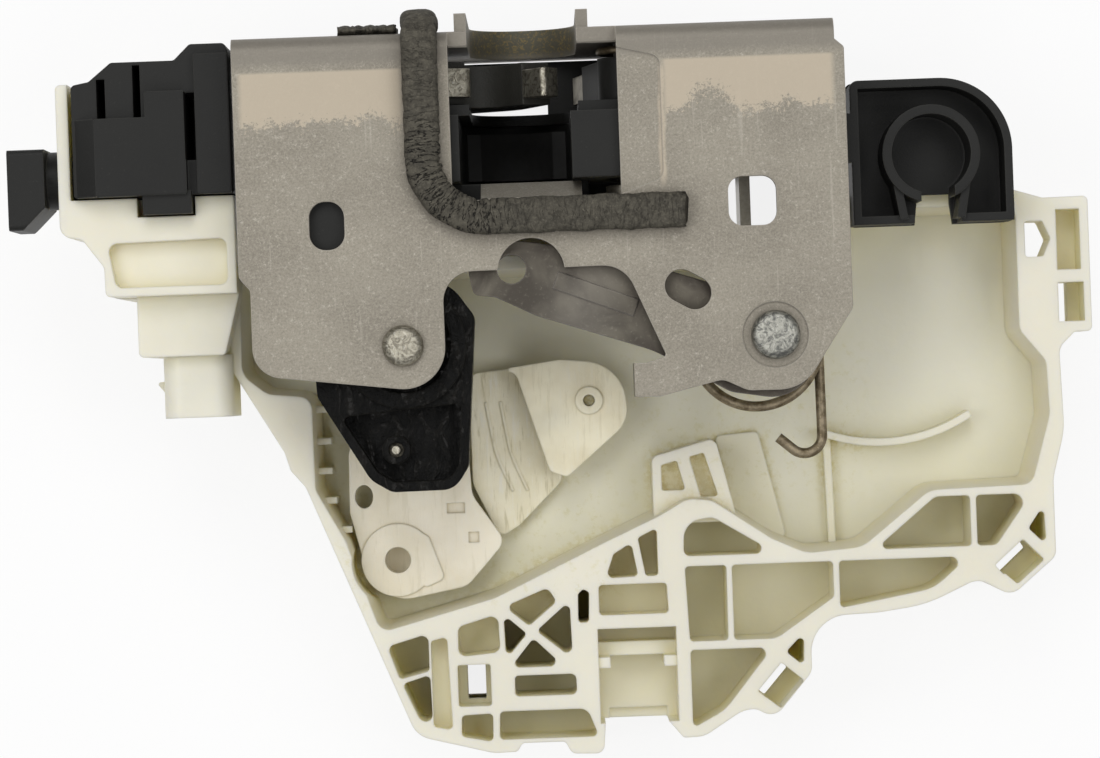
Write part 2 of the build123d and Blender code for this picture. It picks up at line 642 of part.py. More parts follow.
# ---------------------------------------------------------------- key lever on the far left
with BuildPart() as key_lever:
    prism(Plane.YZ.offset(-98.7), 6.8, [(30.9, 30, 1), (45.8, 30, 1), (45.8, 49, 1), (30.9, 49, 1)])
    with BuildSketch(level(20)) as bevel:
        with BuildLine():
            Polyline((-99, 30), (-96.2, 30.8), (-91.9, 35), (-91, 30), close=True)
        make_face()
    extrude(bevel.sketch, amount=40, mode=Mode.SUBTRACT)
    with BuildSketch(Plane.YZ.offset(-92)) as neck:
        with Locations((key_y, key_z)):
            Circle(key_radius)
    extrude(neck.sketch, amount=5.6)
write(key_lever, "key_lever")

# ---------------------------------------------------------------- moulded housing
housing_outline = [
    (left_outer, 57.4, 1), (left_outer, 29.3, 2.5), (-85.2, 28.8, 2), (-81.3, 23.5, 2), (-81.2, 18, 1),
    (-76, 17.7, 1), (-76, 6.7, 1), (-59.4, 6.7, 0), (-59.4, 3.6, 2), (-50.2, -12, 1.5), (-49.2, -15.4, 1),
    (-46.5, -18.6, 3), (-27.4, -66, 5), (-13, -69.7, 6), (-8.6, -69.6, 1), (-7.6, -68.0, 1), (0.4, -68.0, 1),
    (1.6, -70.3, 1.5), (7.6, -70.5, 1.6), (8.1, -64.9, 0), (20, -64.9, 1), (22.6, -68.1, 1), (26.5, -68, 5),
    (34, -63.3, 6), (36.6, -63.2, 3), (39.6, -65.3, 3), (47.1, -56.6, 3), (47.1, -46.4, 7), (60, -46, 25),
    (69, -44.8, 25), (78.9, -40.3, 4), (85, -43.8, 3), (93.6, -36.6, 2.5), (93.6, -22, 10), (96, -13, 15),
    (95.6, 2.4, 3), (98.6, 5.3, 1), (101.9, 5.3, 1), (101.9, 30.7, 1), (93.4, 30.6, 1.5), (88, 32.3, 2),
    (53.8, 32.3, 2), (53.8, 23.4, 1), (-57, 23.4, 0), (-57, 57.4, 1),
]
tray_outline = [
    (-57.4, 20.8, 2.5), (-57.7, 2.8, 4), (-53, -1.0, 4), (-44.8, -1.8, 2.5), (-44.7, -19.2, 3), (-39.4, -29, 6),
    (-33.4, -46.4, 2.5), (-11.8, -40.7, 6), (9.2, -31.0, 6), (19.6, -26.4, 6), (24.9, -23.4, 4),
    (29.4, -23.8, 4), (40.4, -31.4, 6), (47, -34.4, 6), (57.4, -33.6, 6), (70.4, -23.4, 5), (89.6, -23.0, 2.5),
    (93.4, -10, 6), (93.1, 0, 3), (88.3, 6, 3), (88.3, 29.6, 3), (56.4, 29.6, 2.5), (56.4, 20.8, 2.5),
]
# open cells between the ribs: floor level, then the corners of each
deep, middle, shallow = 20.8, 26.0, 31.0
cells = [
    (deep, [(-32.0, -49.2, 1), (-24.8, -47.2, 1), (-24.8, -53.7, 0.6), (-30.0, -55.0, 0.6)]),
    (deep, [(-29.4, -56.3, 0.6), (-24.7, -54.9, 0.6), (-24.5, -63.9, 1), (-26.6, -62.6, 2)]),
    (shallow, [(-23.9, -48.5, 0.6), (-21.3, -47.9, 0.6), (-20.8, -64.8, 0.6), (-23.9, -64.2, 0.6)]),
    (middle, [(-18.7, -46.0, 1.2), (-11.6, -44.0, 1.2), (-11.4, -50.6, 1.2), (-18.8, -51.2, 1.2)]),
    (middle, [(-18.6, -62.7, 0.6), (-13.2, -62.5, 0.6), (-13.3, -67.3, 0.6), (-18.7, -66.2, 0.6)]),
    (middle, [(-9.6, -42.4, 0.8), (-2.0, -39.4, 1), (-0.6, -41.7, 0.8), (-5.6, -45.8, 0.6)]),
    (deep, [(-3.9, -47.1, 0.6), (1.9, -42.2, 0.6), (2.1, -52.0, 0.8)]),
    (deep, [(-8.9, -53.6, 0.6), (-4.9, -48.8, 0.6), (0.0, -53.6, 0.8)]),
    (deep, [(-10.1, -44.3, 0.5), (-6.4, -47.6, 0.5), (-9.9, -51.6, 0.5)]),
    (deep, [(-8.4, -55.6, 0.5), (2.6, -55.6, 0.8), (2.7, -59.0, 0.8), (-8.4, -59.0, 0.5)]),
    (deep, [(-11.4, -62.2, 0.6), (4.6, -62.2, 2), (6.4, -67.0, 0.6), (-11.6, -67.0, 0.6)]),
    (14.0, [(4.0, -40.6, 0.5), (4.8, -39.8, 0.5), (5.6, -40.4, 0.5), (5.4, -45.6, 0.4), (3.9, -45.6, 0.4)]),
    (middle, [(10.9, -33.4, 0.6), (13.9, -31.6, 0.6), (14.9, -37.3, 0.5), (9.4, -37.5, 0.8)]),
    (middle, [(15.6, -30.5, 0.5), (18.7, -29.0, 0.4), (18.7, -37.3, 0.4), (16.8, -37.3, 0.4)]),
    (middle, [(7.9, -39.2, 0.5), (20.2, -39.2, 0.5), (20.4, -44.4, 0.5), (7.9, -44.4, 0.5)]),
    (deep, [(24.1, -33.9, 1), (24.3, -28.0, 3.4), (29.4, -27.2, 2.4), (40.2, -33.9, 0.8)]),
    (deep, [(24.2, -36.3, 0.5), (31.5, -36.3, 0.5), (31.4, -49.9, 0.5), (24.7, -49.9, 0.5)]),
    (deep, [(33.0, -36.3, 0.5), (51.5, -36.3, 0.5), (51.5, -42.6, 1), (40.6, -49.9, 4), (33.0, -49.9, 0.5)]),
    (deep, [(53.1, -36.3, 0.5), (76.6, -36.3, 1), (70.4, -41.6, 8), (53.1, -44.6, 0.5)]),
    (deep, [(24.7, -52.0, 0.5), (39.4, -52.0, 1), (30.4, -63.0, 8), (24.7, -66.0, 0.5)]),
    (deep, [(60.4, -33.9, 0.6), (71.4, -24.9, 2), (77.6, -24.9, 0.5), (77.6, -33.9, 0.5)]),
    (deep, [(79.2, -24.9, 0.5), (88.9, -24.9, 1.5), (82.4, -33.9, 1.5), (79.2, -33.9, 0.5)]),
    (deep, [(45.6, -49.8, 0.5), (42.7, -52.7, 0.5), (45.4, -55.0, 0.4)]),
    (deep, [(91.4, -27.6, 0.4), (91.6, -33.9, 0.4), (88.9, -31.2, 0.4)]),
]
channel_steps = [(-47.2, -50.0, 24.0), (-50.0, -52.6, 30.0), (-52.6, -64.9, 23.0)]
channel_low, channel_high = 7.2, 21.9
rib_trim = 0.25                 # every cell is this much larger all round, so the ribs stay thin
# gear space behind the floor, kept one wall inside the outline
gear_space = [
    (-86.4, 54.6, 2), (-86.4, 31.6, 3), (-78.6, 21, 3), (-73.5, 15, 2), (-73.5, 9.3, 2), (-58, 9.3, 3),
    (-47, -11.5, 4), (-44.2, -18.4, 3), (-25.4, -64, 4), (-13, -66.8, 4), (3.6, -66.8, 3), (6, -62.2, 2),
    (20.4, -62.2, 2), (24.6, -65.4, 2), (30, -63, 6), (41, -50.6, 4), (50.4, -43.2, 8), (60, -43, 12),
    (77, -38.2, 12), (88.6, -26, 8), (93, -12, 8), (92.8, 0, 3), (86, 8, 4), (86, 29.4, 3), (56.6, 29.4, 3),
    (56.6, 20.8, 3), (-59.4, 20.8, 2), (-59.4, 54.6, 2),
]
cover_lip = 1.1
clip_windows = [
    [(-17.6, -53.0, 0.3), (-14.2, -53.0, 0.3), (-14.2, -60.0, 0.3), (-17.6, -60.0, 0.3)],
    [(41.4, -54.7, 0.3), (42.9, -56.3, 0.3), (38.5, -61.3, 0.3), (36.8, -59.9, 0.3)],
    [(87.5, -33.2, 0.3), (88.7, -35.3, 0.3), (83.7, -39.8, 0.3), (82.1, -37.9, 0.3)],
]
clip_ramps = [
    [(-19.3, -53.0, 0.5), (-13.1, -53.0, 0.5), (-13.1, -60.8, 0.5), (-19.3, -60.8, 0.5)],
    [(41.4, -54.7, 0.5), (45.6, -58.2, 0.5), (41.1, -63.3, 0.5), (36.8, -59.9, 0.5)],
    [(87.5, -33.2, 0.5), (91.4, -37.2, 0.5), (86.2, -41.6, 0.5), (82.1, -37.9, 0.5)],
]
ramp_floor = 27.0
window_tower = [(-21.8, -51, 1), (-11, -51, 1), (-11, -65.6, 1), (-21.8, -65.6, 1)]
# the outer clip tabs and the right flange are plates: these prisms clear the space behind them
tab_back = 24.5
tab_pockets = [
    [(-18.4, -53, 0.5), (-13.4, -53, 0.5), (-13.4, -63.6, 0.5), (-18.4, -63.6, 0.5)],
    [(42.1, -53.9, 0), (51.1, -61.9, 0), (45.1, -68.7, 0), (36.1, -60.7, 0)],
    [(88.3, -32.5, 0), (96.2, -41.6, 0), (89.2, -47.6, 0), (81.3, -38.6, 0)],
    [(90.4, 4.5, 0), (103, 4.5, 0), (103, 31.5, 0), (90.4, 31.5, 0)],
]
screw_towers = [(-52, 12), (14, -38), (75, 24), (58, -38)]
tower_radius = 3.4
wall_draft = 4                  # degrees
step_reach = 3.2                # rubbing steps beside the lock lever
cover_screw_radius = 1.5
with BuildPart() as main_housing:
    prism(level(cover_thickness), rim_level - cover_thickness, housing_outline)
    # tall left end with its sloped shoulder
    prism(level(rim_level), body_top - rim_level, [
        (left_outer, 57.4, 1), (left_outer, 29.3, 2.5), (-85.2, 28.8, 2), (-81.3, 23.5, 2), (-81.2, 18, 1),
        (-57, 18, 0), (-57, 57.4, 1)])
    prism(level(rim_level), 8.5, [(-76, 18, 0), (-76, 6.7, 1), (-60, 6.7, 1), (-57, 18, 0)])
    prism(level(body_top - 3.2), 5, [(-80.6, 27.8, 1.5), (-58.6, 28.2, 1.5), (-58.6, 19.6, 1.5), (-79.2, 19.6, 1.5)],
          mode=Mode.SUBTRACT)
    # recess of the switch block, open towards the shut face, with a notch in its lower edge
    box((left_outer + housing_wall, -50), (recess_low, 60), (recess_foot, 60), mode=Mode.SUBTRACT)
    box((-74.8, -64.1), (32.5, recess_low + 1), (44.2, 60), mode=Mode.SUBTRACT)
    # bearing of the key lever
    with BuildSketch(Plane.YZ.offset(left_outer - 1)) as key_bore:
        with Locations((key_y, key_z)):
            Circle(key_radius + run_gap)
    extrude(key_bore.sketch, amount=3.8, mode=Mode.SUBTRACT)
    # connector socket with its latch bump
    with BuildSketch(Plane.XZ.offset(-6.8)) as socket:
        with Locations(((socket_left + socket_right) / 2, (socket_foot + socket_top) / 2)):
            RectangleRounded(socket_right - socket_left, socket_top - socket_foot, 3.6)
    extrude(socket.sketch, amount=6.8 - socket_mouth)
    prism(level(24), 10, [(socket_left - 1.9, 2.0, 0.4), (socket_left + 1, 2.2, 0), (socket_left + 1, -1.6, 0)])
    with BuildSketch(Plane.XZ.offset(-(socket_mouth + socket_depth))) as socket_space:
        with Locations(((socket_left + socket_right) / 2, (socket_foot + socket_top) / 2)):
            RectangleRounded(socket_right - socket_left - 2 * socket_wall,
                             socket_top - socket_foot - 2 * socket_wall, 2.2)
    extrude(socket_space.sketch, amount=socket_depth + 1, mode=Mode.SUBTRACT)
    # gear space, with a tower left round the inner clip window and at each cover screw
    prism(level(cover_thickness - 1), floor_underside - cover_thickness + 1, gear_space, mode=Mode.SUBTRACT)
    prism(level(cover_thickness), floor_underside - cover_thickness + 1, window_tower)
    for x, y in screw_towers:
        post(x, y, tower_radius, cover_thickness, floor_level)
        post(x, y, cover_screw_radius, cover_thickness - 1, 15, mode=Mode.SUBTRACT)
    # space for the terminals between socket and gear space
    box((-73.8, -62), (10, 30), (15, 42), mode=Mode.SUBTRACT)
    # lever tray with drafted walls and the scallop that the lock lever's heel turns in
    extrude(outline(level(rim_level), tray_outline), amount=floor_level - rim_level, taper=wall_draft,
            mode=Mode.SUBTRACT)
    post(gear_x, gear_y, heel_sweep, floor_level, rim_level, mode=Mode.SUBTRACT)
    for floor, corners in cells:
        cell = offset(outline(level(floor), corners), amount=rib_trim, mode=Mode.PRIVATE)
        extrude(cell, amount=rim_level - floor + 1, mode=Mode.SUBTRACT)
    # cable channel: a stepped floor that opens at the lower edge
    for high, low, floor in channel_steps:
        box((channel_low, channel_high), (low - 0.01, high), (floor, rim_level + 1), mode=Mode.SUBTRACT)
    box((channel_low, channel_low + 2.2), (-54.6, -52.6), (23, rim_level - 1))
    box((channel_high - 2.4, channel_high), (-54.6, -52.6), (23, rim_level - 1))
    box((9.0, 20), (-66, -63), (22, rim_level + 1), mode=Mode.SUBTRACT)
    # clip windows: a ramp pocket and the slot right through
    for ramp in clip_ramps:
        prism(level(ramp_floor), 20, ramp, mode=Mode.SUBTRACT)
    for window in clip_windows:
        prism(level(-1), 40, window, mode=Mode.SUBTRACT)
    for pocket in tab_pockets:
        prism(level(-1), tab_back + 1, pocket, mode=Mode.SUBTRACT)
    # tongue of the floor behind the release lever's notch
    box((-24, 20), (20, 31), (floor_underside - 2, floor_level))
    # right flange windows
    prism(level(-1), 40, [(89.9, 26.3, 0.5), (93.2, 26.3, 0.5), (94.7, 22.9, 1), (93.2, 19.6, 0.5), (89.9, 19.6, 0.5)],
          mode=Mode.SUBTRACT)
    box((95.8, 100.2), (17.0, 28.3), (28, 40), mode=Mode.SUBTRACT)
    box((95.8, 100.6), (7.3, 14.6), (28, 40), mode=Mode.SUBTRACT)
    box((95.8, 98.2), (7.3, 14.6), (0, 40), mode=Mode.SUBTRACT)
    # seats of the two frame rivets
    post(lock_x, lock_y, 6.2, floor_level, coupling_foot - 0.4)
    post(lock_x, lock_y, lock_shank + run_gap, 36, 60, mode=Mode.SUBTRACT)
    post(release_x, release_y, drum_radius, floor_level, lever_level - 0.5)
    post(release_x, release_y, release_shank + run_gap, 36, 60, mode=Mode.SUBTRACT)
    # lever bearings: bore of the lock shaft, post of the inside lever, rails of the link
    post(gear_x, gear_y, shaft_radius + run_gap, 17, 30, mode=Mode.SUBTRACT)
    post(inside_x, inside_y, inside_post, floor_level, inside_foot + 0.5)
    for x in (-13.5, -7.5):
        box((x, x + 1.2), (-17, -2), (floor_level, link_foot - 0.2))
    # raised frame left of the arch, with two cells and its foot
    prism(level(floor_level), 12, [(18.6, -15.4, 1.5), (30.6, -12.2, 1.5), (34.4, -28, 0), (18.6, -28, 0)])
    prism(level(28), 8, [(20.3, -17, 0.5), (23.3, -16.2, 0.5), (24.7, -21.8, 0.5), (20.3, -21.8, 0.5)],
          mode=Mode.SUBTRACT)
    prism(level(28), 8, [(25.6, -15.6, 0.5), (28.4, -14.9, 0.5), (30.9, -23.2, 0.5), (27.6, -23.2, 0.5)],
          mode=Mode.SUBTRACT)
    # curved and straight stiffeners of the right basin
    with BuildSketch(level(floor_level)) as basin_ribs:
        with BuildLine():
            ThreePointArc((50.8, -11.9), (65, -14.2), (79.4, -9.4))
        trace(line_width=1.4)
    extrude(basin_ribs.sketch, amount=6)
    rib(level(floor_level), 2.5, 1.4, [(52.2, -12.0), (52.6, -33)])
    prism(level(floor_level), 1.2, [(31, -12, 1), (39.2, -11.4, 1), (44.2, -32.6, 1), (34, -28, 1)])
    # rubbing steps along the left wall
    for x, y in ((-44.9, -3.6), (-44.9, -9.6), (-44.9, -15.2), (-44.2, -20.8), (-41.6, -26.4)):
        box((x, x + step_reach), (y - 1.2, y), (floor_level, 30))
write(main_housing, "main_housing")

with BuildPart() as rear_cover:
    extrude(offset(outline(level(0), gear_space), amount=cover_lip, mode=Mode.PRIVATE), amount=cover_thickness)
    prism(level(-1), 4, [(-18.6, -52, 0.5), (-13.2, -52, 0.5), (-13.2, -61, 0.5), (-18.6, -61, 0.5)],
          mode=Mode.SUBTRACT)
    for x, y in screw_towers:
        post(x, y, cover_screw_radius + 0.3, -1, 4, mode=Mode.SUBTRACT)
        post(x, y, 3.0, -1, 0.9, mode=Mode.SUBTRACT)
write(rear_cover, "rear_cover")

with BuildPart() as cover_screws:
    for x, y in screw_towers:
        post(x, y, 2.8, 0.1, 0.9)
        post(x, y, cover_screw_radius - run_gap, 0.9, 13)
write(cover_screws, "cover_screws")

# ---------------------------------------------------------------- switch block at the left end
with BuildPart() as switch_housing:
    prism(level(block_foot), block_level - block_foot, [
        (-86.1, 36.3, 0.5), (-86.1, 57, 1), (-82.8, 57.6, 1), (-78.6, 61, 1), (-67, 61, 1), (-64, 63.9, 1),
        (-57.5, 63.9, 1), (-56.7, 61, 1), (-56.7, 36.3, 0.5)])
    prism(level(block_level), block_top - block_level, [
        (-81.8, 36.3, 0.4), (-81.8, 50.6, 0.4), (-72.4, 50.6, 0), (-72.4, 55.3, 0.4), (-65.1, 55.3, 0.4),
        (-65.1, 36.3, 0.4)])
    prism(layer(50.6), 14.3, [(-85.6, block_level, 0), (-81.8, block_top, 0), (-81.8, block_level, 0)])
    prism(level(block_level), 1.6, [(-63.3, 36.3, 0.4), (-63.3, 62, 0.4), (-57, 62, 0.4), (-57, 36.3, 0.4)])
    box((-73.4, -64.5), (32.8, 37), (44.5, block_top - 1))
    # slots of the contact slides
    box((-81.4, -79.8), (50.8, 58), (block_foot + 6, 60), mode=Mode.SUBTRACT)
    box((-74.7, -73.3), (50.8, 60.4), (block_foot + 6, 60), mode=Mode.SUBTRACT)
    box((-65.2, -63.3), (42.6, 55), (block_foot + 6, 60), mode=Mode.SUBTRACT)
write(switch_housing, "switch_housing")

with BuildPart() as connector_pins:
    for column in (-67.4, -63.8):
        for row in (22, 27, 32, 37):
            box((column - 0.32, column + 0.32), (-1, 14), (row - 0.32, row + 0.32))
write(connector_pins, "connector_pins")

with BuildPart() as circuit_carrier:
    box((-73.4, -62.4), (14.0, 15.6), (16, 41.5))
write(circuit_carrier, "circuit_carrier")

# ---------------------------------------------------------------- cable holder at the right end
ring_outer = ring_bore + ring_wall
with BuildPart() as cable_holder:
    prism(level(holder_foot), 2, [
        (57.1, 26.2, 1), (57.1, 53, 1), (73.4, 53, 0), (86.9, 53, 13.2), (86.9, 26.2, 1)])
    with BuildSketch(level(holder_foot)) as rim:
        with BuildLine():
            FilletPolyline((57.9, 27), (57.9, 52.2), (86.1, 52.2), (86.1, 27), radius=[0.8, 12.6])
        trace(line_width=holder_wall)
    extrude(rim.sketch, amount=holder_top - holder_foot - 2)
    # lower flanges beside the cable gap
    box((57.2, 68.4), (26.3, 27.8), (holder_foot, holder_top - 2))
    box((77, 86.8), (26.3, 27.8), (holder_foot, holder_top - 2))
    post(ring_x, ring_y, ring_outer, holder_foot, holder_top)
    for x in (ring_x - ring_bore, ring_x + ring_bore):
        rib(level(holder_foot), holder_top - holder_foot - 1, holder_wall, [(x, ring_y), (x * 0.72 + ring_x * 0.28, 27)])
    post(ring_x, ring_y, ring_bore, 30, 60, mode=Mode.SUBTRACT)
    prism(level(30), 30, [(68.4, 20, 0), (69.6, 30, 0), (69.6, ring_y, 0), (75.8, ring_y, 0), (75.8, 30, 0), (77, 20, 0)],
          mode=Mode.SUBTRACT)
    # web behind the ring and the arm to the latch housing
    prism(level(holder_foot), 2, [(62, 52, 1), (76, 52, 1), (83, 44, 1), (83, 31.8, 1), (62, 31.8, 1)])
    box((guide_right + 0.3, 58), (38, 47), (44, 48))
write(cable_holder, "cable_holder")

# ---------------------------------------------------------------- seals
seal_left = -22.0
seal_low = 29.7
with BuildPart() as mouth_seal:
    with BuildSketch(level(plate_face)) as seal_run:
        with BuildLine():
            FilletPolyline((seal_left, 61), (seal_left, seal_low), (26.4, seal_low), radius=11)
        trace(line_width=2 * seal_half)
    extrude(seal_run.sketch, amount=seal_height)
    box((seal_left - seal_half, seal_left + seal_half), (60, flange_face + 3.4), (plate_face + 0.2, plate_face + seal_height))
    box((seal_left - seal_half, seal_left + seal_half), (flange_face, flange_face + 3.4), (46, plate_face + 1))
    fillet(mouth_seal.edges().filter_by(Axis.X).group_by(Axis.Z)[-1].sort_by(Axis.Y)[-1], radius=2.5)
write(mouth_seal, "mouth_seal")

with BuildPart() as shut_face_seal:
    prism(layer(flange_face + strip_thickness), strip_thickness, [
        (-36.5, 57, 1), (-36.5, 40, 2), (-25.8, 40, 2), (-25.8, 57, 1)])
write(shut_face_seal, "shut_face_seal")

with BuildPart() as position_switch:
    box((20, 31), (52.5, 58.5), (guide_foot + guide_wall + 0.05, 22))
    box((22.5, 26), (54, 57), (22, 23.4))
write(position_switch, "position_switch")
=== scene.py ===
# %% [markdown]
# Door latch, dressed. The measured frame arrives with every bracket, lever and moulding already in
# its place. This notebook gives those parts their real surfaces, grows the two strips of foam, and
# adds the traces of handling that a plain solid can't carry.

# %% Load the measured frame
from math import copysign, radians

import bmesh
import bpy
from mathutils import Matrix, Vector, noise


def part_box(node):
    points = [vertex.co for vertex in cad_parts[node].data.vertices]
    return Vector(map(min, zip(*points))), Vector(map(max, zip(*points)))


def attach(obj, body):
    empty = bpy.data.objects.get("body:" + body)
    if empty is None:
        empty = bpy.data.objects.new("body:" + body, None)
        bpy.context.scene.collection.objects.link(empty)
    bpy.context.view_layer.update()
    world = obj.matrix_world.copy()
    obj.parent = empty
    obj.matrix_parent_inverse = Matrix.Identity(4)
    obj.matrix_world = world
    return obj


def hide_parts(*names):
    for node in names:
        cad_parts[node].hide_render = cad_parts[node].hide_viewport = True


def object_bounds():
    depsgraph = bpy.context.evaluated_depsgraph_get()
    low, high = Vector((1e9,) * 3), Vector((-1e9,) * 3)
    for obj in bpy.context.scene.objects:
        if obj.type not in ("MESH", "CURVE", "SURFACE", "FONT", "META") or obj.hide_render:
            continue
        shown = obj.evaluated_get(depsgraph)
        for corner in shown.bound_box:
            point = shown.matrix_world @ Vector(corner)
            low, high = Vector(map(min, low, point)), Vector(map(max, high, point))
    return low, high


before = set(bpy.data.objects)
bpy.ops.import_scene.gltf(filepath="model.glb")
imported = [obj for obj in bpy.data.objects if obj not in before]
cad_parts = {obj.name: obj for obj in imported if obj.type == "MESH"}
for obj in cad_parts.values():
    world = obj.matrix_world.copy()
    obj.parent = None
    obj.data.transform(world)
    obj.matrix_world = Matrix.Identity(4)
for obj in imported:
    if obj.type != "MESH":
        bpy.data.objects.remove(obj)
cad_box = [list(corner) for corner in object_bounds()]
mm = 0.001

# %% [markdown]
# The camera hangs straight above the latch. A long lens keeps the sides of the deep tray steep, as
# they look on the bench, and the small roll matches the way the part was laid down.

# %% Camera above the steel face
steel_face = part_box("frame_plate")[1].z
camera_distance = 780 * mm
view_width = 200 * mm
sensor_width = 36.0
camera_roll = radians(-2.1)

lens_data = bpy.data.cameras.new("bench_camera")
lens_data.sensor_width = sensor_width
lens_data.lens = sensor_width * camera_distance / view_width
lens_data.clip_start = 0.01
camera = bpy.data.objects.new("bench_camera", lens_data)
camera.location = (0, 0, 60 * mm + camera_distance)
camera.rotation_euler = (0, 0, camera_roll)
bpy.context.scene.collection.objects.link(camera)
bpy.context.scene.camera = camera
print("lens", round(lens_data.lens, 1), "mm, steel face at", round(steel_face / mm, 1), "mm")

# %% [markdown]
# Light is plain and soft. Deep cells must not fall dark, so four panels stand close round the camera
# axis and shine almost straight down, and an even sky fills in. Nothing hangs on the axis itself: a
# flat glossy face, which mirrors what is right above it, then stays dark. Together they light a flat
# white face to about its own colour.

# %% Sky and four panels
scene = bpy.context.scene
scene.view_settings.view_transform = "Standard"
sky = bpy.data.worlds.new("even_sky")
sky.use_nodes = True
sky_light = sky.node_tree.nodes["Background"]
sky_light.inputs["Color"].default_value = (1, 1, 1, 1)
sky_light.inputs["Strength"].default_value = 0.36
scene.world = sky


def panel(name, place, size, power):
    """Square soft light that faces the middle of the latch."""
    data = bpy.data.lights.new(name, "AREA")
    data.size = size
    data.energy = power
    lamp = bpy.data.objects.new(name, data)
    lamp.location = place
    lamp.rotation_euler = (Vector((0, 0, 0.04)) - Vector(place)).to_track_quat("-Z", "Y").to_euler()
    scene.collection.objects.link(lamp)


panel("panel_back", (-0.05, 0.50, 0.82), 0.42, 2.3)
panel("panel_left", (-0.48, 0.05, 0.85), 0.42, 2.2)
panel("panel_right", (0.48, 0.02, 0.85), 0.42, 1.7)
panel("panel_front", (0.05, -0.45, 0.85), 0.40, 1.0)

# %% [markdown]
# A finish is a small network of nodes. Sums are easier to read as sums, so one class wraps a socket
# and turns `+`, `*` and the others into Math nodes, and another gathers the nodes of one finish.


# %% Sockets that can be added and multiplied
class Signal:
    """One output socket of a finish. Expressions on signals add Math nodes."""

    def __init__(self, finish, socket):
        self.finish = finish
        self.socket = socket

    def maths(self, operation, first, second=0.0):
        return self.finish.node("ShaderNodeMath", {"operation": operation}, {0: first, 1: second})

    def __add__(self, other):
        return self.maths("ADD", self, other)

    __radd__ = __add__

    def __mul__(self, other):
        return self.maths("MULTIPLY", self, other)

    __rmul__ = __mul__

    def __sub__(self, other):
        return self.maths("SUBTRACT", self, other)

    def __rsub__(self, other):
        return self.maths("SUBTRACT", other, self)

    def over(self, other):
        """The larger of two signals."""
        return self.maths("MAXIMUM", self, other)

    def power(self, exponent):
        return self.maths("POWER", self, exponent)

    def size(self):
        """The value without its sign."""
        return self.maths("ABSOLUTE", self)


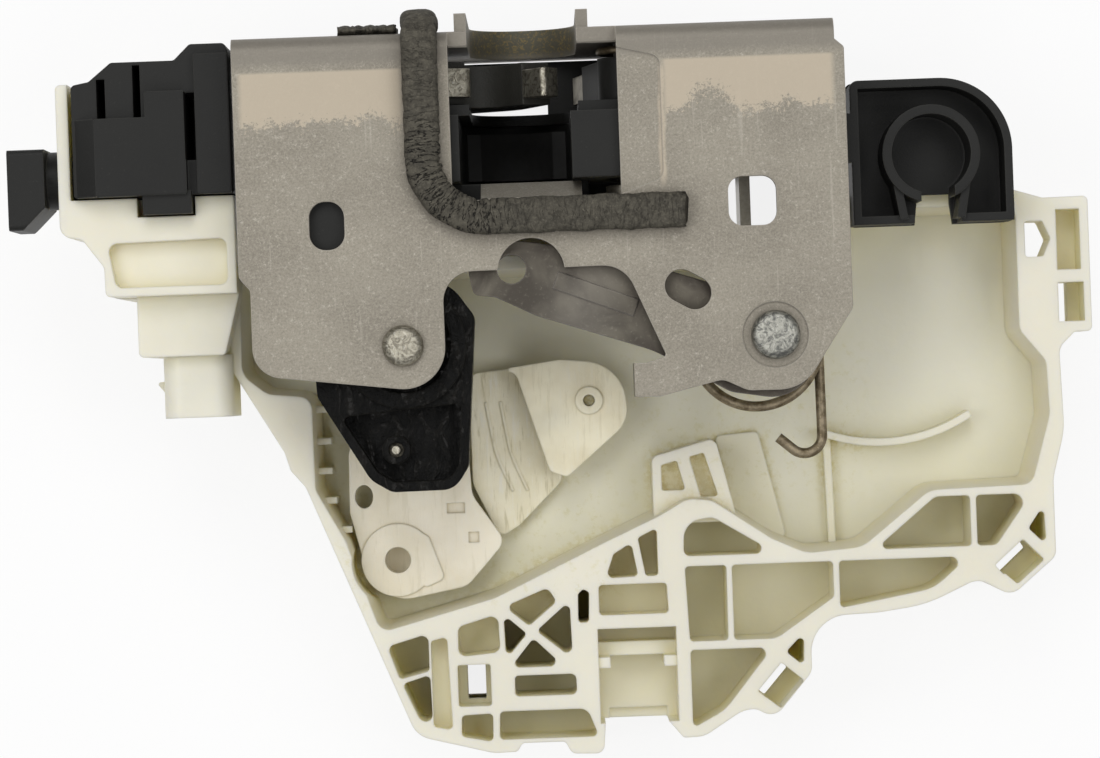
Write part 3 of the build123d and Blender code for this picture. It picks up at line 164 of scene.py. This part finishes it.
class Finish:
    """A material, its shader and the ways to build what feeds it. Lengths are in millimetres."""

    def __init__(self, name, **shader):
        self.material = bpy.data.materials.new(name)
        self.material.use_nodes = True
        self.tree = self.material.node_tree
        self.shader = self.tree.nodes["Principled BSDF"]
        for socket, value in shader.items():
            self.shader.inputs[socket.replace("_", " ")].default_value = value
        self.place = self.node("ShaderNodeTexCoord", output="Object")
        self.normal = None

    def node(self, kind, settings=None, inputs=None, output=0):
        """Adds one node: its settings first, then values or links of its sockets."""
        made = self.tree.nodes.new(kind)
        for name, value in (settings or {}).items():
            if name == "stops":
                self.set_stops(made.color_ramp, value)
            else:
                setattr(made, name, value)
        for name, value in (inputs or {}).items():
            self.feed(made.inputs[name], value)
        return Signal(self, made.outputs[output])

    def set_stops(self, ramp, stops):
        while len(ramp.elements) < len(stops):
            ramp.elements.new(0.5)
        for element, (position, colour) in zip(ramp.elements, stops):
            element.position = position
            element.color = colour

    def feed(self, socket, value):
        if isinstance(value, Signal):
            self.tree.links.new(value.socket, socket)
        else:
            socket.default_value = value

    def set(self, socket, value):
        self.feed(self.shader.inputs[socket], value)

    def axes(self):
        """The three coordinates, in millimetres."""
        parts = [self.node("ShaderNodeSeparateXYZ", {}, {0: self.place}, axis) for axis in range(3)]
        return [part * 1000.0 for part in parts]

    def noise(self, size, detail=4.0, roughness=0.55, stretch=(1, 1, 1), seed=0.0, distortion=0.0):
        """Cloudy pattern whose lumps are about size millimetres across."""
        scale = [1.0 / (size * mm * part) for part in stretch]
        mapped = self.node("ShaderNodeMapping", {}, {"Vector": self.place, "Scale": scale,
                                                     "Location": (seed, seed * 1.7, seed * 0.6)})
        return self.node("ShaderNodeTexNoise", {"noise_dimensions": "3D"},
                         {"Vector": mapped, "Scale": 1.0, "Detail": detail, "Roughness": roughness,
                          "Distortion": distortion})

    def cells(self, size, feature="F1", stretch=(1, 1, 1)):
        """Pattern of cells about size millimetres across."""
        scale = [1.0 / (size * mm * part) for part in stretch]
        mapped = self.node("ShaderNodeMapping", {}, {"Vector": self.place, "Scale": scale})
        return self.node("ShaderNodeTexVoronoi", {"feature": feature}, {"Vector": mapped, "Scale": 1.0})

    def step(self, signal, low, high):
        """0 below low, 1 above high, smooth between. low may be the larger."""
        return self.node("ShaderNodeMapRange", {"interpolation_type": "SMOOTHSTEP"},
                         {"Value": signal, "From Min": low, "From Max": high})

    def band(self, signal, low, high, soft):
        """1 between low and high."""
        return self.step(signal, low - soft, low + soft) * self.step(signal, high + soft, high - soft)

    def mix(self, factor, first, second, blend="MIX"):
        """Colour between two colours."""
        return self.node("ShaderNodeMix", {"data_type": "RGBA", "blend_type": blend},
                         {0: factor, 6: first, 7: second}, 2)

    def hollow(self, reach):
        """1 in corners and deep cells, 0 on open faces."""
        open_sky = self.node("ShaderNodeAmbientOcclusion", {"samples": 8},
                             {"Distance": reach * mm}, "AO")
        return 1.0 - open_sky

    def soften(self, radius):
        """Rounds the edges of a solid as far as the light is concerned."""
        self.normal = self.node("ShaderNodeBevel", {"samples": 6}, {"Radius": radius * mm}, "Normal")
        return self.normal

    def edge(self, radius):
        """1 along edges: where the rounded normal leaves the true one."""
        rounded = self.node("ShaderNodeBevel", {"samples": 6}, {"Radius": radius * mm}, "Normal")
        true = self.node("ShaderNodeNewGeometry", output="True Normal")
        agree = self.node("ShaderNodeVectorMath", {"operation": "DOT_PRODUCT"}, {0: rounded, 1: true}, "Value")
        return self.step(agree, 0.99, 0.8)

    def bump(self, height, depth, strength=1.0):
        """Adds relief of a depth in millimetres."""
        inputs = {"Height": height, "Distance": depth * mm, "Strength": strength}
        if self.normal:
            inputs["Normal"] = self.normal
        self.normal = self.node("ShaderNodeBump", {}, inputs, "Normal")

    def done(self):
        if self.normal:
            self.set("Normal", self.normal)
        return self.material


def tint(red, green, blue):
    """A colour written as it looks on screen, 0 to 255, made linear."""
    def linear(value):
        part = value / 255
        return part / 12.92 if part <= 0.04045 else ((part + 0.055) / 1.055) ** 2.4
    return (linear(red), linear(green), linear(blue), 1.0)


# %% [markdown]
# The floor is white to the camera and in reflections, and still takes the shadow of the latch. Light
# paths sort the rays: what the eye and the shiny metal see is mostly plain white, and only the
# light that bounces on is left to the diffuse paint.


# %% White floor
def white_floor():
    finish = Finish("floor_white", Roughness=1.0)
    finish.set("Base Color", (0.9, 0.9, 0.9, 1.0))
    path = "ShaderNodeLightPath"
    camera_ray = finish.node(path, output="Is Camera Ray")
    glossy_ray = finish.node(path, output="Is Glossy Ray")
    through_ray = finish.node(path, output="Is Transmission Ray")
    seen = camera_ray.over(glossy_ray).over(through_ray)
    glow = finish.node("ShaderNodeEmission", {}, {"Color": (1, 1, 1, 1), "Strength": 1.0})
    shaded = Signal(finish, finish.shader.outputs[0])
    mixed = finish.node("ShaderNodeMixShader", {}, {0: seen * 0.85, 1: shaded, 2: glow})
    finish.feed(finish.tree.nodes["Material Output"].inputs["Surface"], mixed)
    return finish.material


floor_size = 6.0
floor_gap = 0.4 * mm
floor_mesh = bmesh.new()
bmesh.ops.create_grid(floor_mesh, x_segments=1, y_segments=1, size=floor_size / 2)
bmesh.ops.translate(floor_mesh, verts=floor_mesh.verts, vec=(0, 0, cad_box[0][2] - floor_gap))
floor_data = bpy.data.meshes.new("bench_floor")
floor_mesh.to_mesh(floor_data)
floor_mesh.free()
floor = bpy.data.objects.new("bench_floor", floor_data)
floor.data.materials.append(white_floor())
scene.collection.objects.link(floor)


# %% [markdown]
# The frame is pickled sheet that has been handled: an even warm grey with a fine pale grain, and
# painted shade that makes it darker over the bend and in its hollows. Below the bend lie two bands of
# dried film. The film ends in curds: a smooth ramp says how likely film is at each height, a fine noise
# is added, and a sharp step turns the sum into islands that thin out downwards.


# %% Worn sheet steel of the frame
film_top = 57.4                 # where the bend starts, along Y
film_foot = 47.6


def worn_sheet():
    finish = Finish("worn_sheet", Metallic=0.5, Roughness=0.5)
    x, y, z = finish.axes()
    clouds = finish.noise(16, detail=4)
    waves = finish.noise(8, detail=2, seed=5.0)
    grain = finish.noise(0.42, detail=3, roughness=0.8)
    specks = finish.noise(0.8, detail=6, roughness=0.9, seed=6.0)
    scuffs = finish.noise(4, detail=5, stretch=(0.2, 5, 1), seed=3.0)
    base = finish.mix(finish.step(clouds, 0.3, 0.7), tint(132, 126, 114), tint(146, 140, 127))
    base = finish.mix(finish.step(grain, 0.42, 0.72) * 0.5, base, tint(170, 164, 152))
    base = finish.mix(finish.step(grain, 0.5, 0.28) * 0.45, base, tint(106, 101, 91))
    base = finish.mix(finish.step(specks, 0.55, 0.63) * 0.55, base, tint(192, 186, 173))
    base = finish.mix(finish.step(scuffs, 0.62, 0.72) * 0.25, base, tint(190, 184, 172))
    # painted shade: the sheet is darker over the bend
    base = finish.mix(finish.step(y, film_top, film_top + 2.4) * 0.75, base, tint(124, 119, 110))
    # dried film left and right of the mouth, with a bay that was wiped clean
    curds = finish.noise(0.7, detail=6, roughness=0.8, seed=9.0, distortion=0.6)
    bay = finish.band(x, 27.0, 34.0, 2.5) * finish.band(y, 44.0, 53.0, 2.5)
    likely = finish.step(y - film_foot + (waves - 0.5) * 9.0, -4.0, 4.0) - bay * 0.55
    sides = finish.band(x, -54.6, -25.2, 0.7).over(finish.band(x, 22.6, 53.4, 0.7))
    film = finish.step(likely + (curds - 0.5) * 2.2, 0.5, 0.62) * sides
    film = film * finish.step(y, film_top + 0.3, film_top - 0.3)
    streak = finish.band(x + (waves - 0.5) * 1.6, 21.6, 22.6, 0.35) * finish.band(y, 35.0, 56.5, 1.5)
    film = film.over(streak * finish.step(curds, 0.3, 0.5))
    base = finish.mix(film * 0.85, base, tint(198, 186, 167))
    # painted shade: darker in the hollows and beside other parts
    base = finish.mix(finish.hollow(5.0).power(1.4) * 0.75, base, tint(84, 76, 66))
    base = finish.mix(finish.edge(0.45) * 0.7, base, tint(206, 199, 186))
    # grease and rust stain inside the collar
    stain = finish.step(y, 61.0, 63.5) * finish.band(x, -13.0, 7.0, 1.0) * finish.step(z, 57.0, 52.0)
    base = finish.mix(stain * 0.9, base, tint(88, 86, 72))
    base = finish.mix(stain * finish.step(curds, 0.5, 0.62) * 0.75, base, tint(150, 128, 76))
    finish.set("Base Color", base)
    finish.set("Roughness", 0.44 + grain * 0.14 + film * 0.2)
    finish.soften(0.45)
    finish.bump(grain, 0.05)
    finish.bump(specks, 0.04)
    finish.bump(clouds, 0.2, 0.5)
    return finish.done()


# %% [markdown]
# Rivets, pins and the bare steel of claw and pawl are zinc plated. The head of a rivet looks like
# crumpled foil, because the tool left small facets: a warped noise as relief makes each catch the
# light by itself, and the same noise tones the colour.


# %% Zinc plate
def zinc_plate(name, tone, dark, lump=1.6, relief=0.22):
    finish = Finish(name, Metallic=0.9, Roughness=0.35)
    foil = finish.noise(lump, detail=5, roughness=0.65, distortion=1.8)
    fine = finish.noise(0.5, detail=3, roughness=0.7)
    base = finish.mix(finish.step(foil, 0.36, 0.6), dark, tone)
    base = finish.mix(finish.step(fine, 0.55, 0.75) * 0.4, base, tint(235, 234, 226))
    # painted shade: darker in hollows and next to other parts
    base = finish.mix(finish.hollow(2.5) * 0.7, base, tint(78, 72, 62))
    finish.set("Base Color", base)
    finish.set("Roughness", 0.26 + fine * 0.28)
    finish.soften(0.35)
    finish.bump(foil, relief)
    finish.bump(fine, 0.03)
    return finish.done()


# %% [markdown]
# The release lever is passivated: a dull, slightly brown grey, cloudy in tone, with a painted soft
# highlight in a band across it and painted shade, dark brown, in the hollows close to the frame.


# %% Passivated lever
def passivated_steel():
    finish = Finish("passivated_steel", Metallic=0.7, Roughness=0.4)
    x, y, z = finish.axes()
    clouds = finish.noise(9, detail=3, distortion=0.8)
    fine = finish.noise(0.6, detail=3)
    along = x * 0.93 - y * 0.37
    sheen = finish.band(along, -4.0, 6.0, 5.0)
    base = finish.mix(finish.step(clouds, 0.35, 0.7), tint(78, 73, 66), tint(108, 103, 92))
    # painted highlight: a soft lighter band across the lever
    base = finish.mix(sheen * 0.35, base, tint(142, 137, 128))
    base = finish.mix(finish.step(fine, 0.55, 0.8) * 0.3, base, tint(146, 141, 128))
    # painted shade: darker brown in the hollows close to the frame
    base = finish.mix(finish.hollow(5.0) * 0.8, base, tint(60, 52, 46))
    base = finish.mix(finish.edge(0.4) * 0.6, base, tint(168, 162, 156))
    finish.set("Base Color", base)
    finish.set("Roughness", 0.3 + clouds * 0.22)
    finish.soften(0.4)
    finish.bump(clouds, 0.25)
    finish.bump(fine, 0.03)
    return finish.done()


# %% Drawn spring wire
def drawn_wire():
    finish = Finish("drawn_wire", Metallic=0.75, Roughness=0.42)
    clouds = finish.noise(2.2, detail=5)
    fine = finish.noise(0.4, detail=2)
    base = finish.mix(finish.step(clouds, 0.35, 0.65), tint(98, 86, 66), tint(146, 134, 112))
    base = finish.mix(finish.step(fine, 0.58, 0.7) * 0.5, base, tint(176, 162, 128))
    # painted shade: darker where the wire lies in hollows
    base = finish.mix(finish.hollow(2.5) * 0.7, base, tint(52, 42, 28))
    finish.set("Base Color", base)
    finish.set("Roughness", 0.34 + fine * 0.25)
    finish.bump(fine, 0.05)
    return finish.done()


# %% [markdown]
# The housing is ivory nylon, a little see-through: light that enters a thin rib comes out softened
# and warmer, which a share of subsurface scattering gives. The colour turns khaki the more enclosed a
# place is, and darker lower down: this is painted shade, as well as grease that has gone khaki where
# a cloth can't reach. Fresh yellow grease lies in the corners round the levers and the spring.


# %% Ivory housing
def ivory_moulding():
    finish = Finish("ivory_moulding", Roughness=0.4)
    finish.set("Subsurface Weight", 0.45)
    finish.set("Subsurface Radius", (1.0, 0.88, 0.55))
    finish.set("Subsurface Scale", 0.006)
    x, y, z = finish.axes()
    clouds = finish.noise(24, detail=4)
    fine = finish.noise(2.2, detail=4)
    dirt = finish.noise(1.6, detail=6, roughness=0.75, seed=4.0)
    base = finish.mix(clouds, tint(226, 221, 203), tint(234, 230, 215))
    # painted shade: darker and warmer lower down, on the deep floors
    base = finish.mix(finish.step(z, 34.0, 18.0) * 0.4, base, tint(218, 213, 186))
    # painted shade as well as grease yellowing: khaki the more enclosed a place is
    base = finish.mix(finish.hollow(12.0) * 0.5, base, tint(234, 226, 178))
    base = finish.mix(finish.hollow(3.0).power(1.6) * 0.25, base, tint(206, 194, 138))
    # grease: corners near the lock lever, the link and the end of the spring
    levers = finish.band(x, -42, 12, 5.0) * finish.band(y, -42, 0, 5.0)
    spring = finish.band(x, 14, 60, 5.0) * finish.band(y, -24, 6, 5.0)
    greasy = levers.over(spring)
    smear = finish.step(dirt, 0.5, 0.62) * finish.step(fine, 0.42, 0.6)
    base = finish.mix(smear * greasy * 0.3, base, tint(202, 192, 128))
    corner = finish.hollow(2.2) * finish.step(dirt, 0.42, 0.55)
    base = finish.mix(corner * greasy * 0.8, base, tint(196, 178, 84))
    # painted highlight: the edges are lighter
    base = finish.mix(finish.edge(0.5) * 0.35, base, tint(234, 231, 216))
    finish.set("Base Color", base)
    finish.set("Roughness", 0.34 + fine * 0.2 - smear * greasy * 0.15)
    finish.soften(0.6)
    finish.bump(clouds, 0.6)
    finish.bump(fine, 0.06)
    return finish.done()


# %% [markdown]
# The inner levers are a natural, unfilled plastic. It is milky: light goes in a little way and comes
# out softened. Grease has been dragged over them in streaks by the parts that slide on them: the dark
# streaks are that grease, the pale ones are painted highlights on it, and painted shade darkens the hollows.


# %% Milky lever plastic
def milky_moulding(name, pale, deep, grease_and_sheen):
    finish = Finish(name, Roughness=0.3)
    finish.set("Subsurface Weight", 0.35)
    finish.set("Subsurface Radius", (1.0, 0.9, 0.7))
    finish.set("Subsurface Scale", 0.003)
    clouds = finish.noise(9, detail=3)
    streaks = finish.noise(2.4, detail=6, roughness=0.65, stretch=(0.45, 4.0, 1), seed=2.0)
    fine = finish.noise(0.7, detail=4)
    base = finish.mix(finish.step(clouds, 0.3, 0.7), deep, pale)
    # painted highlight: pale streaks along the grease
    base = finish.mix(finish.step(streaks, 0.54, 0.66) * grease_and_sheen, base, tint(232, 228, 214))
    base = finish.mix(finish.step(streaks, 0.46, 0.36) * grease_and_sheen * 0.6, base, tint(176, 166, 128))
    # painted shade: darker in the hollows
    base = finish.mix(finish.hollow(3.0) * 0.4, base, tint(188, 176, 132))
    finish.set("Base Color", base)
    finish.set("Roughness", 0.18 + fine * 0.3)
    finish.soften(0.5)
    finish.bump(streaks, 0.12 * grease_and_sheen + 0.04)
    finish.bump(fine, 0.03)
    return finish.done()


# %% [markdown]
# Two blacks: most covers are dry and satin with a fine spark texture, and the coupling lever is wet
# with grease. Grease is a clear coat that comes and goes, over relief from the strokes it was wiped
# in. Black plastic reflects less than the usual default, so the specular level is turned down.


# %% Satin black and greased black
def satin_black(name="satin_black", dark=(22, 22, 21), pale=(36, 36, 34), relief=0.03):
    finish = Finish(name, Roughness=0.5)
    finish.set("Specular IOR Level", 0.22)
    fine = finish.noise(0.35, detail=2)
    clouds = finish.noise(12, detail=4)
    dust = finish.noise(0.9, detail=6, roughness=0.85, seed=7.0)
    base = finish.mix(clouds, tint(*dark), tint(*pale))
    base = finish.mix(finish.step(dust, 0.62, 0.7) * 0.35, base, tint(92, 90, 84))
    # painted highlight: the edges are lighter
    base = finish.mix(finish.edge(0.4) * 0.45, base, tint(84, 84, 80))
    finish.set("Base Color", base)
    finish.set("Roughness", 0.42 + clouds * 0.16)
    finish.soften(0.5)
    finish.bump(fine, relief)
    return finish.done()


def greased_black():
    finish = Finish("greased_black", Roughness=0.35)
    finish.set("Coat Roughness", 0.05)
    finish.set("Specular IOR Level", 0.1)
    strokes = finish.noise(2.6, detail=5, roughness=0.7, stretch=(1.0, 2.2, 1), distortion=1.4)
    beads = finish.noise(0.8, detail=3, roughness=0.6, seed=8.0)
    base = finish.mix(finish.step(strokes, 0.45, 0.7), tint(8, 8, 7), tint(20, 18, 14))
    # painted highlight: the edges are lighter
    base = finish.mix(finish.edge(0.4) * 0.3, base, tint(54, 52, 46))
    finish.set("Base Color", base)
    finish.set("Roughness", 0.22 + beads * 0.3)
    finish.set("Coat Weight", finish.step(strokes, 0.54, 0.6) * finish.step(beads, 0.45, 0.58))
    finish.soften(0.5)
    finish.bump(strokes, 0.55)
    finish.bump(beads, 0.15)
    return finish.done()


# %% [markdown]
# The inner plate is coloured black, apart from its ear, which is bare where it comes out of the guide
# block: the black is painted shade for the deep bottom of the mouth. One sharp step along X turns the same
# finish from plastic-dark into metal.


# %% Black plate with a bare ear
ear_start = 33.0                # where the inner plate leaves the guide block, along X


def eared_plate():
    finish = Finish("eared_plate", Roughness=0.45)
    finish.set("Specular IOR Level", 0.25)
    x, y, z = finish.axes()
    fine = finish.noise(0.6, detail=3)
    ear = finish.step(x, ear_start - 0.4, ear_start)
    bare = finish.mix(fine, tint(150, 145, 132), tint(184, 178, 164))
    # painted shade: away from its ear the plate is black, for the deep, shaded bottom of the mouth
    finish.set("Base Color", finish.mix(ear, tint(24, 24, 22), bare))
    finish.set("Metallic", ear * 0.85)
    finish.set("Roughness", 0.5 - ear * 0.16)
    finish.bump(fine, 0.04)
    return finish.done()


# %% Rubber, board and gear plastic
def rubber_black():
    finish = Finish("rubber_black", Roughness=0.7)
    dust = finish.noise(1.5, detail=4)
    finish.set("Base Color", finish.mix(dust, tint(20, 20, 19), tint(38, 37, 35)))
    finish.bump(dust, 0.08)
    return finish.done()


def board_green():
    finish = Finish("board_green", Roughness=0.4)
    weave = finish.cells(0.8)
    finish.set("Base Color", finish.mix(weave, tint(40, 74, 54), tint(60, 98, 72)))
    finish.bump(weave, 0.02)
    return finish.done()


def gear_white():
    finish = Finish("gear_white", Roughness=0.4)
    clouds = finish.noise(5, detail=4)
    base = finish.mix(clouds, tint(206, 202, 184), tint(226, 223, 210))
    # painted shade: darker in the hollows of the gear and worm
    finish.set("Base Color", finish.mix(finish.hollow(2.0), base, tint(170, 160, 120)))
    finish.soften(0.3)
    finish.bump(clouds, 0.05)
    return finish.done()


# %% Hand each node its finish
satin = satin_black()
finishes = {
    worn_sheet(): ["frame_plate"],
    zinc_plate("zinc_bright", tint(176, 171, 156), tint(116, 111, 99), 1.6, 0.15): [
        "lock_rivet", "coupling_pin", "claw_core", "cover_screws"],
    zinc_plate("zinc_blue", tint(166, 165, 156), tint(102, 102, 98), 1.6, 0.14): ["release_rivet"],
    zinc_plate("zinc_smooth", tint(182, 176, 162), tint(142, 136, 124), 6, 0.08): [
        "claw_pin", "pawl_shaft", "pawl_core", "pawl_lever", "motor_shaft", "motor_can",
        "connector_pins"],
    passivated_steel(): ["release_lever"],
    drawn_wire(): ["claw_spring", "pawl_spring", "release_spring"],
    ivory_moulding(): ["main_housing", "rear_cover"],
    milky_moulding("milky_lock", tint(238, 231, 213), tint(230, 222, 200), 0.25): ["lock_lever"],
    milky_moulding("milky_link", tint(236, 230, 208), tint(224, 217, 190), 0.8): ["link_plate"],
    milky_moulding("milky_inside", tint(238, 231, 206), tint(224, 215, 186), 0.3): ["inside_lever"],
    greased_black(): ["coupling_lever"],
    satin: ["latch_housing", "pawl_jacket", "motor_end_cap", "key_lever", "switch_housing", "cable_holder",
            "position_switch"],
    satin_black("greased_jacket", (30, 30, 28), (58, 57, 52), 0.12): ["claw_jacket"],
    eared_plate(): ["back_plate"],
    rubber_black(): ["striker_bumper"],
    board_green(): ["circuit_carrier"],
    gear_white(): ["lock_gear", "worm"],
}
for material, names in finishes.items():
    for name in names:
        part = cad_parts[name]
        part.data.materials.clear()
        part.data.materials.append(material)
dressed = sorted(name for names in finishes.values() for name in names)
print("dressed", len(dressed), "nodes; to be replaced:", sorted(set(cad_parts) - set(dressed)))

# %% [markdown]
# The seal round the mouth is a strip of foam that was laid straight, bent round the corner and
# rolled over the shut edge. It is grown ring by ring: one section is extruded, and each new ring is
# moved or turned one small step, so the strip follows its run without a curve. Every ring keeps how
# far along the strip it is, because the cracks run across the strip wherever it turns.


# %% Section of the foam strip
strip_half = 3.3 * mm
strip_height = 4.2 * mm
strip_step = 0.4 * mm
seal_foot = 60.05 * mm
seal_x = -21.6 * mm             # middle of the upright run
seal_y = 29.9 * mm              # middle of the level run
seal_end = 25.4 * mm            # torn end of the level run
seal_bend = 11.0 * mm
seal_tail = 9 * mm              # what hangs down past the bend
edge_y, edge_z = 61 * mm, 57 * mm    # middle of the frame's bend


def rounded_section(mesh, half, height, foot, segments=28):
    """Ring across X with a flat foot, upright sides and a domed top."""
    mesh.verts.layers.float.new("around")
    mesh.verts.layers.float.new("along")
    around = mesh.verts.layers.float["around"]
    ring = bmesh.ops.create_circle(mesh, cap_ends=False, segments=segments, radius=1.0)["verts"]
    for vert in ring:
        across, up = vert.co.x, vert.co.y
        side = copysign(abs(across) ** 0.55, across)
        rise = copysign(abs(up) ** 0.7, up)
        vert[around] = side * half / mm
        vert.co = Vector((0, half * side, foot + height * (0.5 + 0.5 * rise)))
    return ring


# %% Grow a strip one ring at a time
def turn_about(place, axis, degrees):
    """Rotation about an axis through a point."""
    there = Matrix.Translation(Vector(place))
    return there @ Matrix.Rotation(radians(degrees), 4, axis) @ there.inverted()


def grow_strip(mesh, ring, moves):
    """Extrudes the ring once for each move, and notes how far along the strip each new ring lies."""
    along = mesh.verts.layers.float["along"]
    rim = {edge for vert in ring for edge in vert.link_edges}
    for count, move in enumerate(moves, start=1):
        grown = bmesh.ops.extrude_edge_only(mesh, edges=list(rim))["geom"]
        fresh = {item for item in grown if isinstance(item, bmesh.types.BMVert)}
        bmesh.ops.transform(mesh, matrix=move, verts=list(fresh))
        rim = {item for item in grown if isinstance(item, bmesh.types.BMEdge) and set(item.verts) <= fresh}
        for vert in fresh:
            vert[along] = count * strip_step / mm
    bmesh.ops.holes_fill(mesh, edges=mesh.edges[:], sides=0)
    bmesh.ops.recalc_face_normals(mesh, faces=mesh.faces[:])


# %% Steps of the seal's run
def straight(direction, length):
    """Moves that carry a ring along a direction."""
    return [Matrix.Translation(Vector(direction) * strip_step)] * round(length / strip_step)


def bent(place, axis, degrees, radius):
    """Moves that turn a ring about an axis."""
    count = round(radians(abs(degrees)) * radius / strip_step)
    return [turn_about(place, axis, degrees / count)] * count


corner_x, corner_y = seal_x + seal_bend, seal_y + seal_bend
level_run = straight((-1, 0, 0), seal_end - corner_x)
corner_run = bent((corner_x, corner_y, 0), "Z", -90, seal_bend)
upright_run = straight((0, 1, 0), edge_y - corner_y)
rolled_run = bent((0, edge_y, edge_z), "X", -90, seal_foot - edge_z + strip_height / 2)
seal_moves = level_run + corner_run + upright_run + rolled_run + straight((0, 0, -1), seal_tail)
corner_start = len(level_run) * strip_step / mm
corner_end = corner_start + len(corner_run) * strip_step / mm
print("rings:", len(seal_moves), "corner from", round(corner_start, 1), "to", round(corner_end, 1), "mm")

# %% [markdown]
# Foam that has aged shrinks and tears. Noise read along and across the strip moves the skin in and
# out; ridges of it make the few deep folds of the bend, and the first rings are pulled back unevenly
# where the strip was torn off.


# %% Wrinkle the skin
def ridge(value):
    """1 on the crest of a noise, falling off quickly."""
    return max(0.0, 1.0 - abs(value) * 4.0) ** 2


def wrinkle(mesh, folds):
    """Moves the skin. folds gives the depth of the folds, in millimetres, at a place along the strip."""
    along = mesh.verts.layers.float["along"]
    around = mesh.verts.layers.float["around"]
    mesh.normal_update()
    for vert in mesh.verts:
        far, side = vert[along], vert[around]
        lumps = noise.noise(Vector((far * 0.25, side * 0.3, 1.0))) * 0.28
        dents = noise.noise(Vector((far * 1.1, side * 0.5, 4.0))) * 0.12
        fold = ridge(noise.noise(Vector((far * 0.7, side * 0.12, 7.0)))) * folds(far, side)
        vert.co += vert.normal * (lumps + dents - fold) * mm


def seal_folds(far, side):
    inside = max(0.0, min(1.0, (far - corner_start + 4) / 5)) * max(0.0, min(1.0, (corner_end + 8 - far) / 8))
    return 0.1 + inside * (0.32 + side * 0.08)


# %% [markdown]
# The cracks themselves are finer than the mesh, so they are relief in the finish. It reads the two
# numbers that the rings carry: a noise that is short along the strip and long across it gives dark
# hair lines, and they are let through more in the bend.


# %% Cracked foam
def cracked_foam(name, bend_start, bend_end):
    finish = Finish(name, Roughness=0.85)
    finish.set("Specular IOR Level", 0.3)
    along = finish.node("ShaderNodeAttribute", {"attribute_name": "along"}, output="Fac")
    around = finish.node("ShaderNodeAttribute", {"attribute_name": "around"}, output="Fac")
    dust = finish.noise(1.4, detail=6, roughness=0.75)
    pores = finish.noise(0.35, detail=2)
    wander = finish.noise(3.0, detail=3) - 0.5
    strip = finish.node("ShaderNodeCombineXYZ", {}, {0: (along + wander * 1.6) * 0.9, 1: around * 0.2})
    lines = finish.node("ShaderNodeTexNoise", {"noise_dimensions": "3D"},
                        {"Vector": strip, "Scale": 1.0, "Detail": 4.0, "Roughness": 0.6})
    crack = finish.step((lines - 0.5).size(), 0.02, 0.003)
    bend = finish.band(along, bend_start - 3.0, bend_end + 6.0, 4.0)
    crack = crack * (bend * 0.85 + 0.15)
    base = finish.mix(finish.step(dust, 0.3, 0.7), tint(56, 53, 46), tint(88, 84, 74))
    base = finish.mix(finish.step(pores, 0.55, 0.75) * 0.35, base, tint(112, 107, 96))
    base = finish.mix(crack, base, tint(18, 16, 13))
    finish.set("Base Color", base)
    finish.set("Roughness", 0.68 + dust * 0.2)
    finish.bump(1.0 - crack, 0.7)
    finish.bump(dust, 0.16)
    finish.bump(pores, 0.06)
    return finish.done()


# %% Lay the seal
def add_piece(name, mesh, material, smooth=True):
    """Makes an object of a finished mesh and dresses it."""
    data = bpy.data.meshes.new(name)
    mesh.to_mesh(data)
    mesh.free()
    data.materials.append(material)
    for face in data.polygons:
        face.use_smooth = smooth
    piece = bpy.data.objects.new(name, data)
    scene.collection.objects.link(piece)
    print(name, len(data.polygons), "faces")
    return piece


seal_mesh = bmesh.new()
first_ring = rounded_section(seal_mesh, strip_half, strip_height, seal_foot)
bmesh.ops.translate(seal_mesh, verts=first_ring, vec=(seal_end, seal_y, 0))
grow_strip(seal_mesh, first_ring, seal_moves)
wrinkle(seal_mesh, seal_folds)
along_layer = seal_mesh.verts.layers.float["along"]
around_layer = seal_mesh.verts.layers.float["around"]
for vert in seal_mesh.verts:
    torn = max(0.0, 1.0 - vert[along_layer] / 3.0)
    vert.co.x += torn * noise.noise(Vector((vert[around_layer] * 0.7, vert.co.z / mm, 2.0))) * 2.2 * mm
    vert.co.z = max(vert.co.z, seal_foot) if vert.co.y < edge_y else vert.co.z
seal = add_piece("mouth_foam", seal_mesh, cracked_foam("cracked_foam", corner_start, corner_end))
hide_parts("mouth_seal")
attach(seal, "latch")

# %% [markdown]
# A second scrap of the same foam is stuck to the shut edge. It is a short strip too: the same rings,
# carried straight, and only its skin is rougher.

# %% Scrap of foam on the shut edge
scrap_low, scrap_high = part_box("shut_face_seal")
scrap_half = (scrap_high.z - scrap_low.z) / 2
scrap_mesh = bmesh.new()
scrap_ring = rounded_section(scrap_mesh, scrap_half, scrap_high.y - scrap_low.y, 0.0)
upright = Matrix.Rotation(radians(90), 4, "X")
bmesh.ops.transform(scrap_mesh, matrix=upright, verts=scrap_ring)
bmesh.ops.scale(scrap_mesh, vec=(1, -1, 1), verts=scrap_ring)
bmesh.ops.translate(scrap_mesh, verts=scrap_ring,
                    vec=(scrap_high.x, scrap_low.y, (scrap_low.z + scrap_high.z) / 2))
grow_strip(scrap_mesh, scrap_ring, straight((-1, 0, 0), scrap_high.x - scrap_low.x))
wrinkle(scrap_mesh, lambda far, side: 0.3)
for vert in scrap_mesh.verts:
    vert.co.y = max(vert.co.y, scrap_low.y + 0.02 * mm)
scrap = add_piece("edge_foam", scrap_mesh, cracked_foam("scrap_foam", 0.0, 12.0))
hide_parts("shut_face_seal")
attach(scrap, "latch")
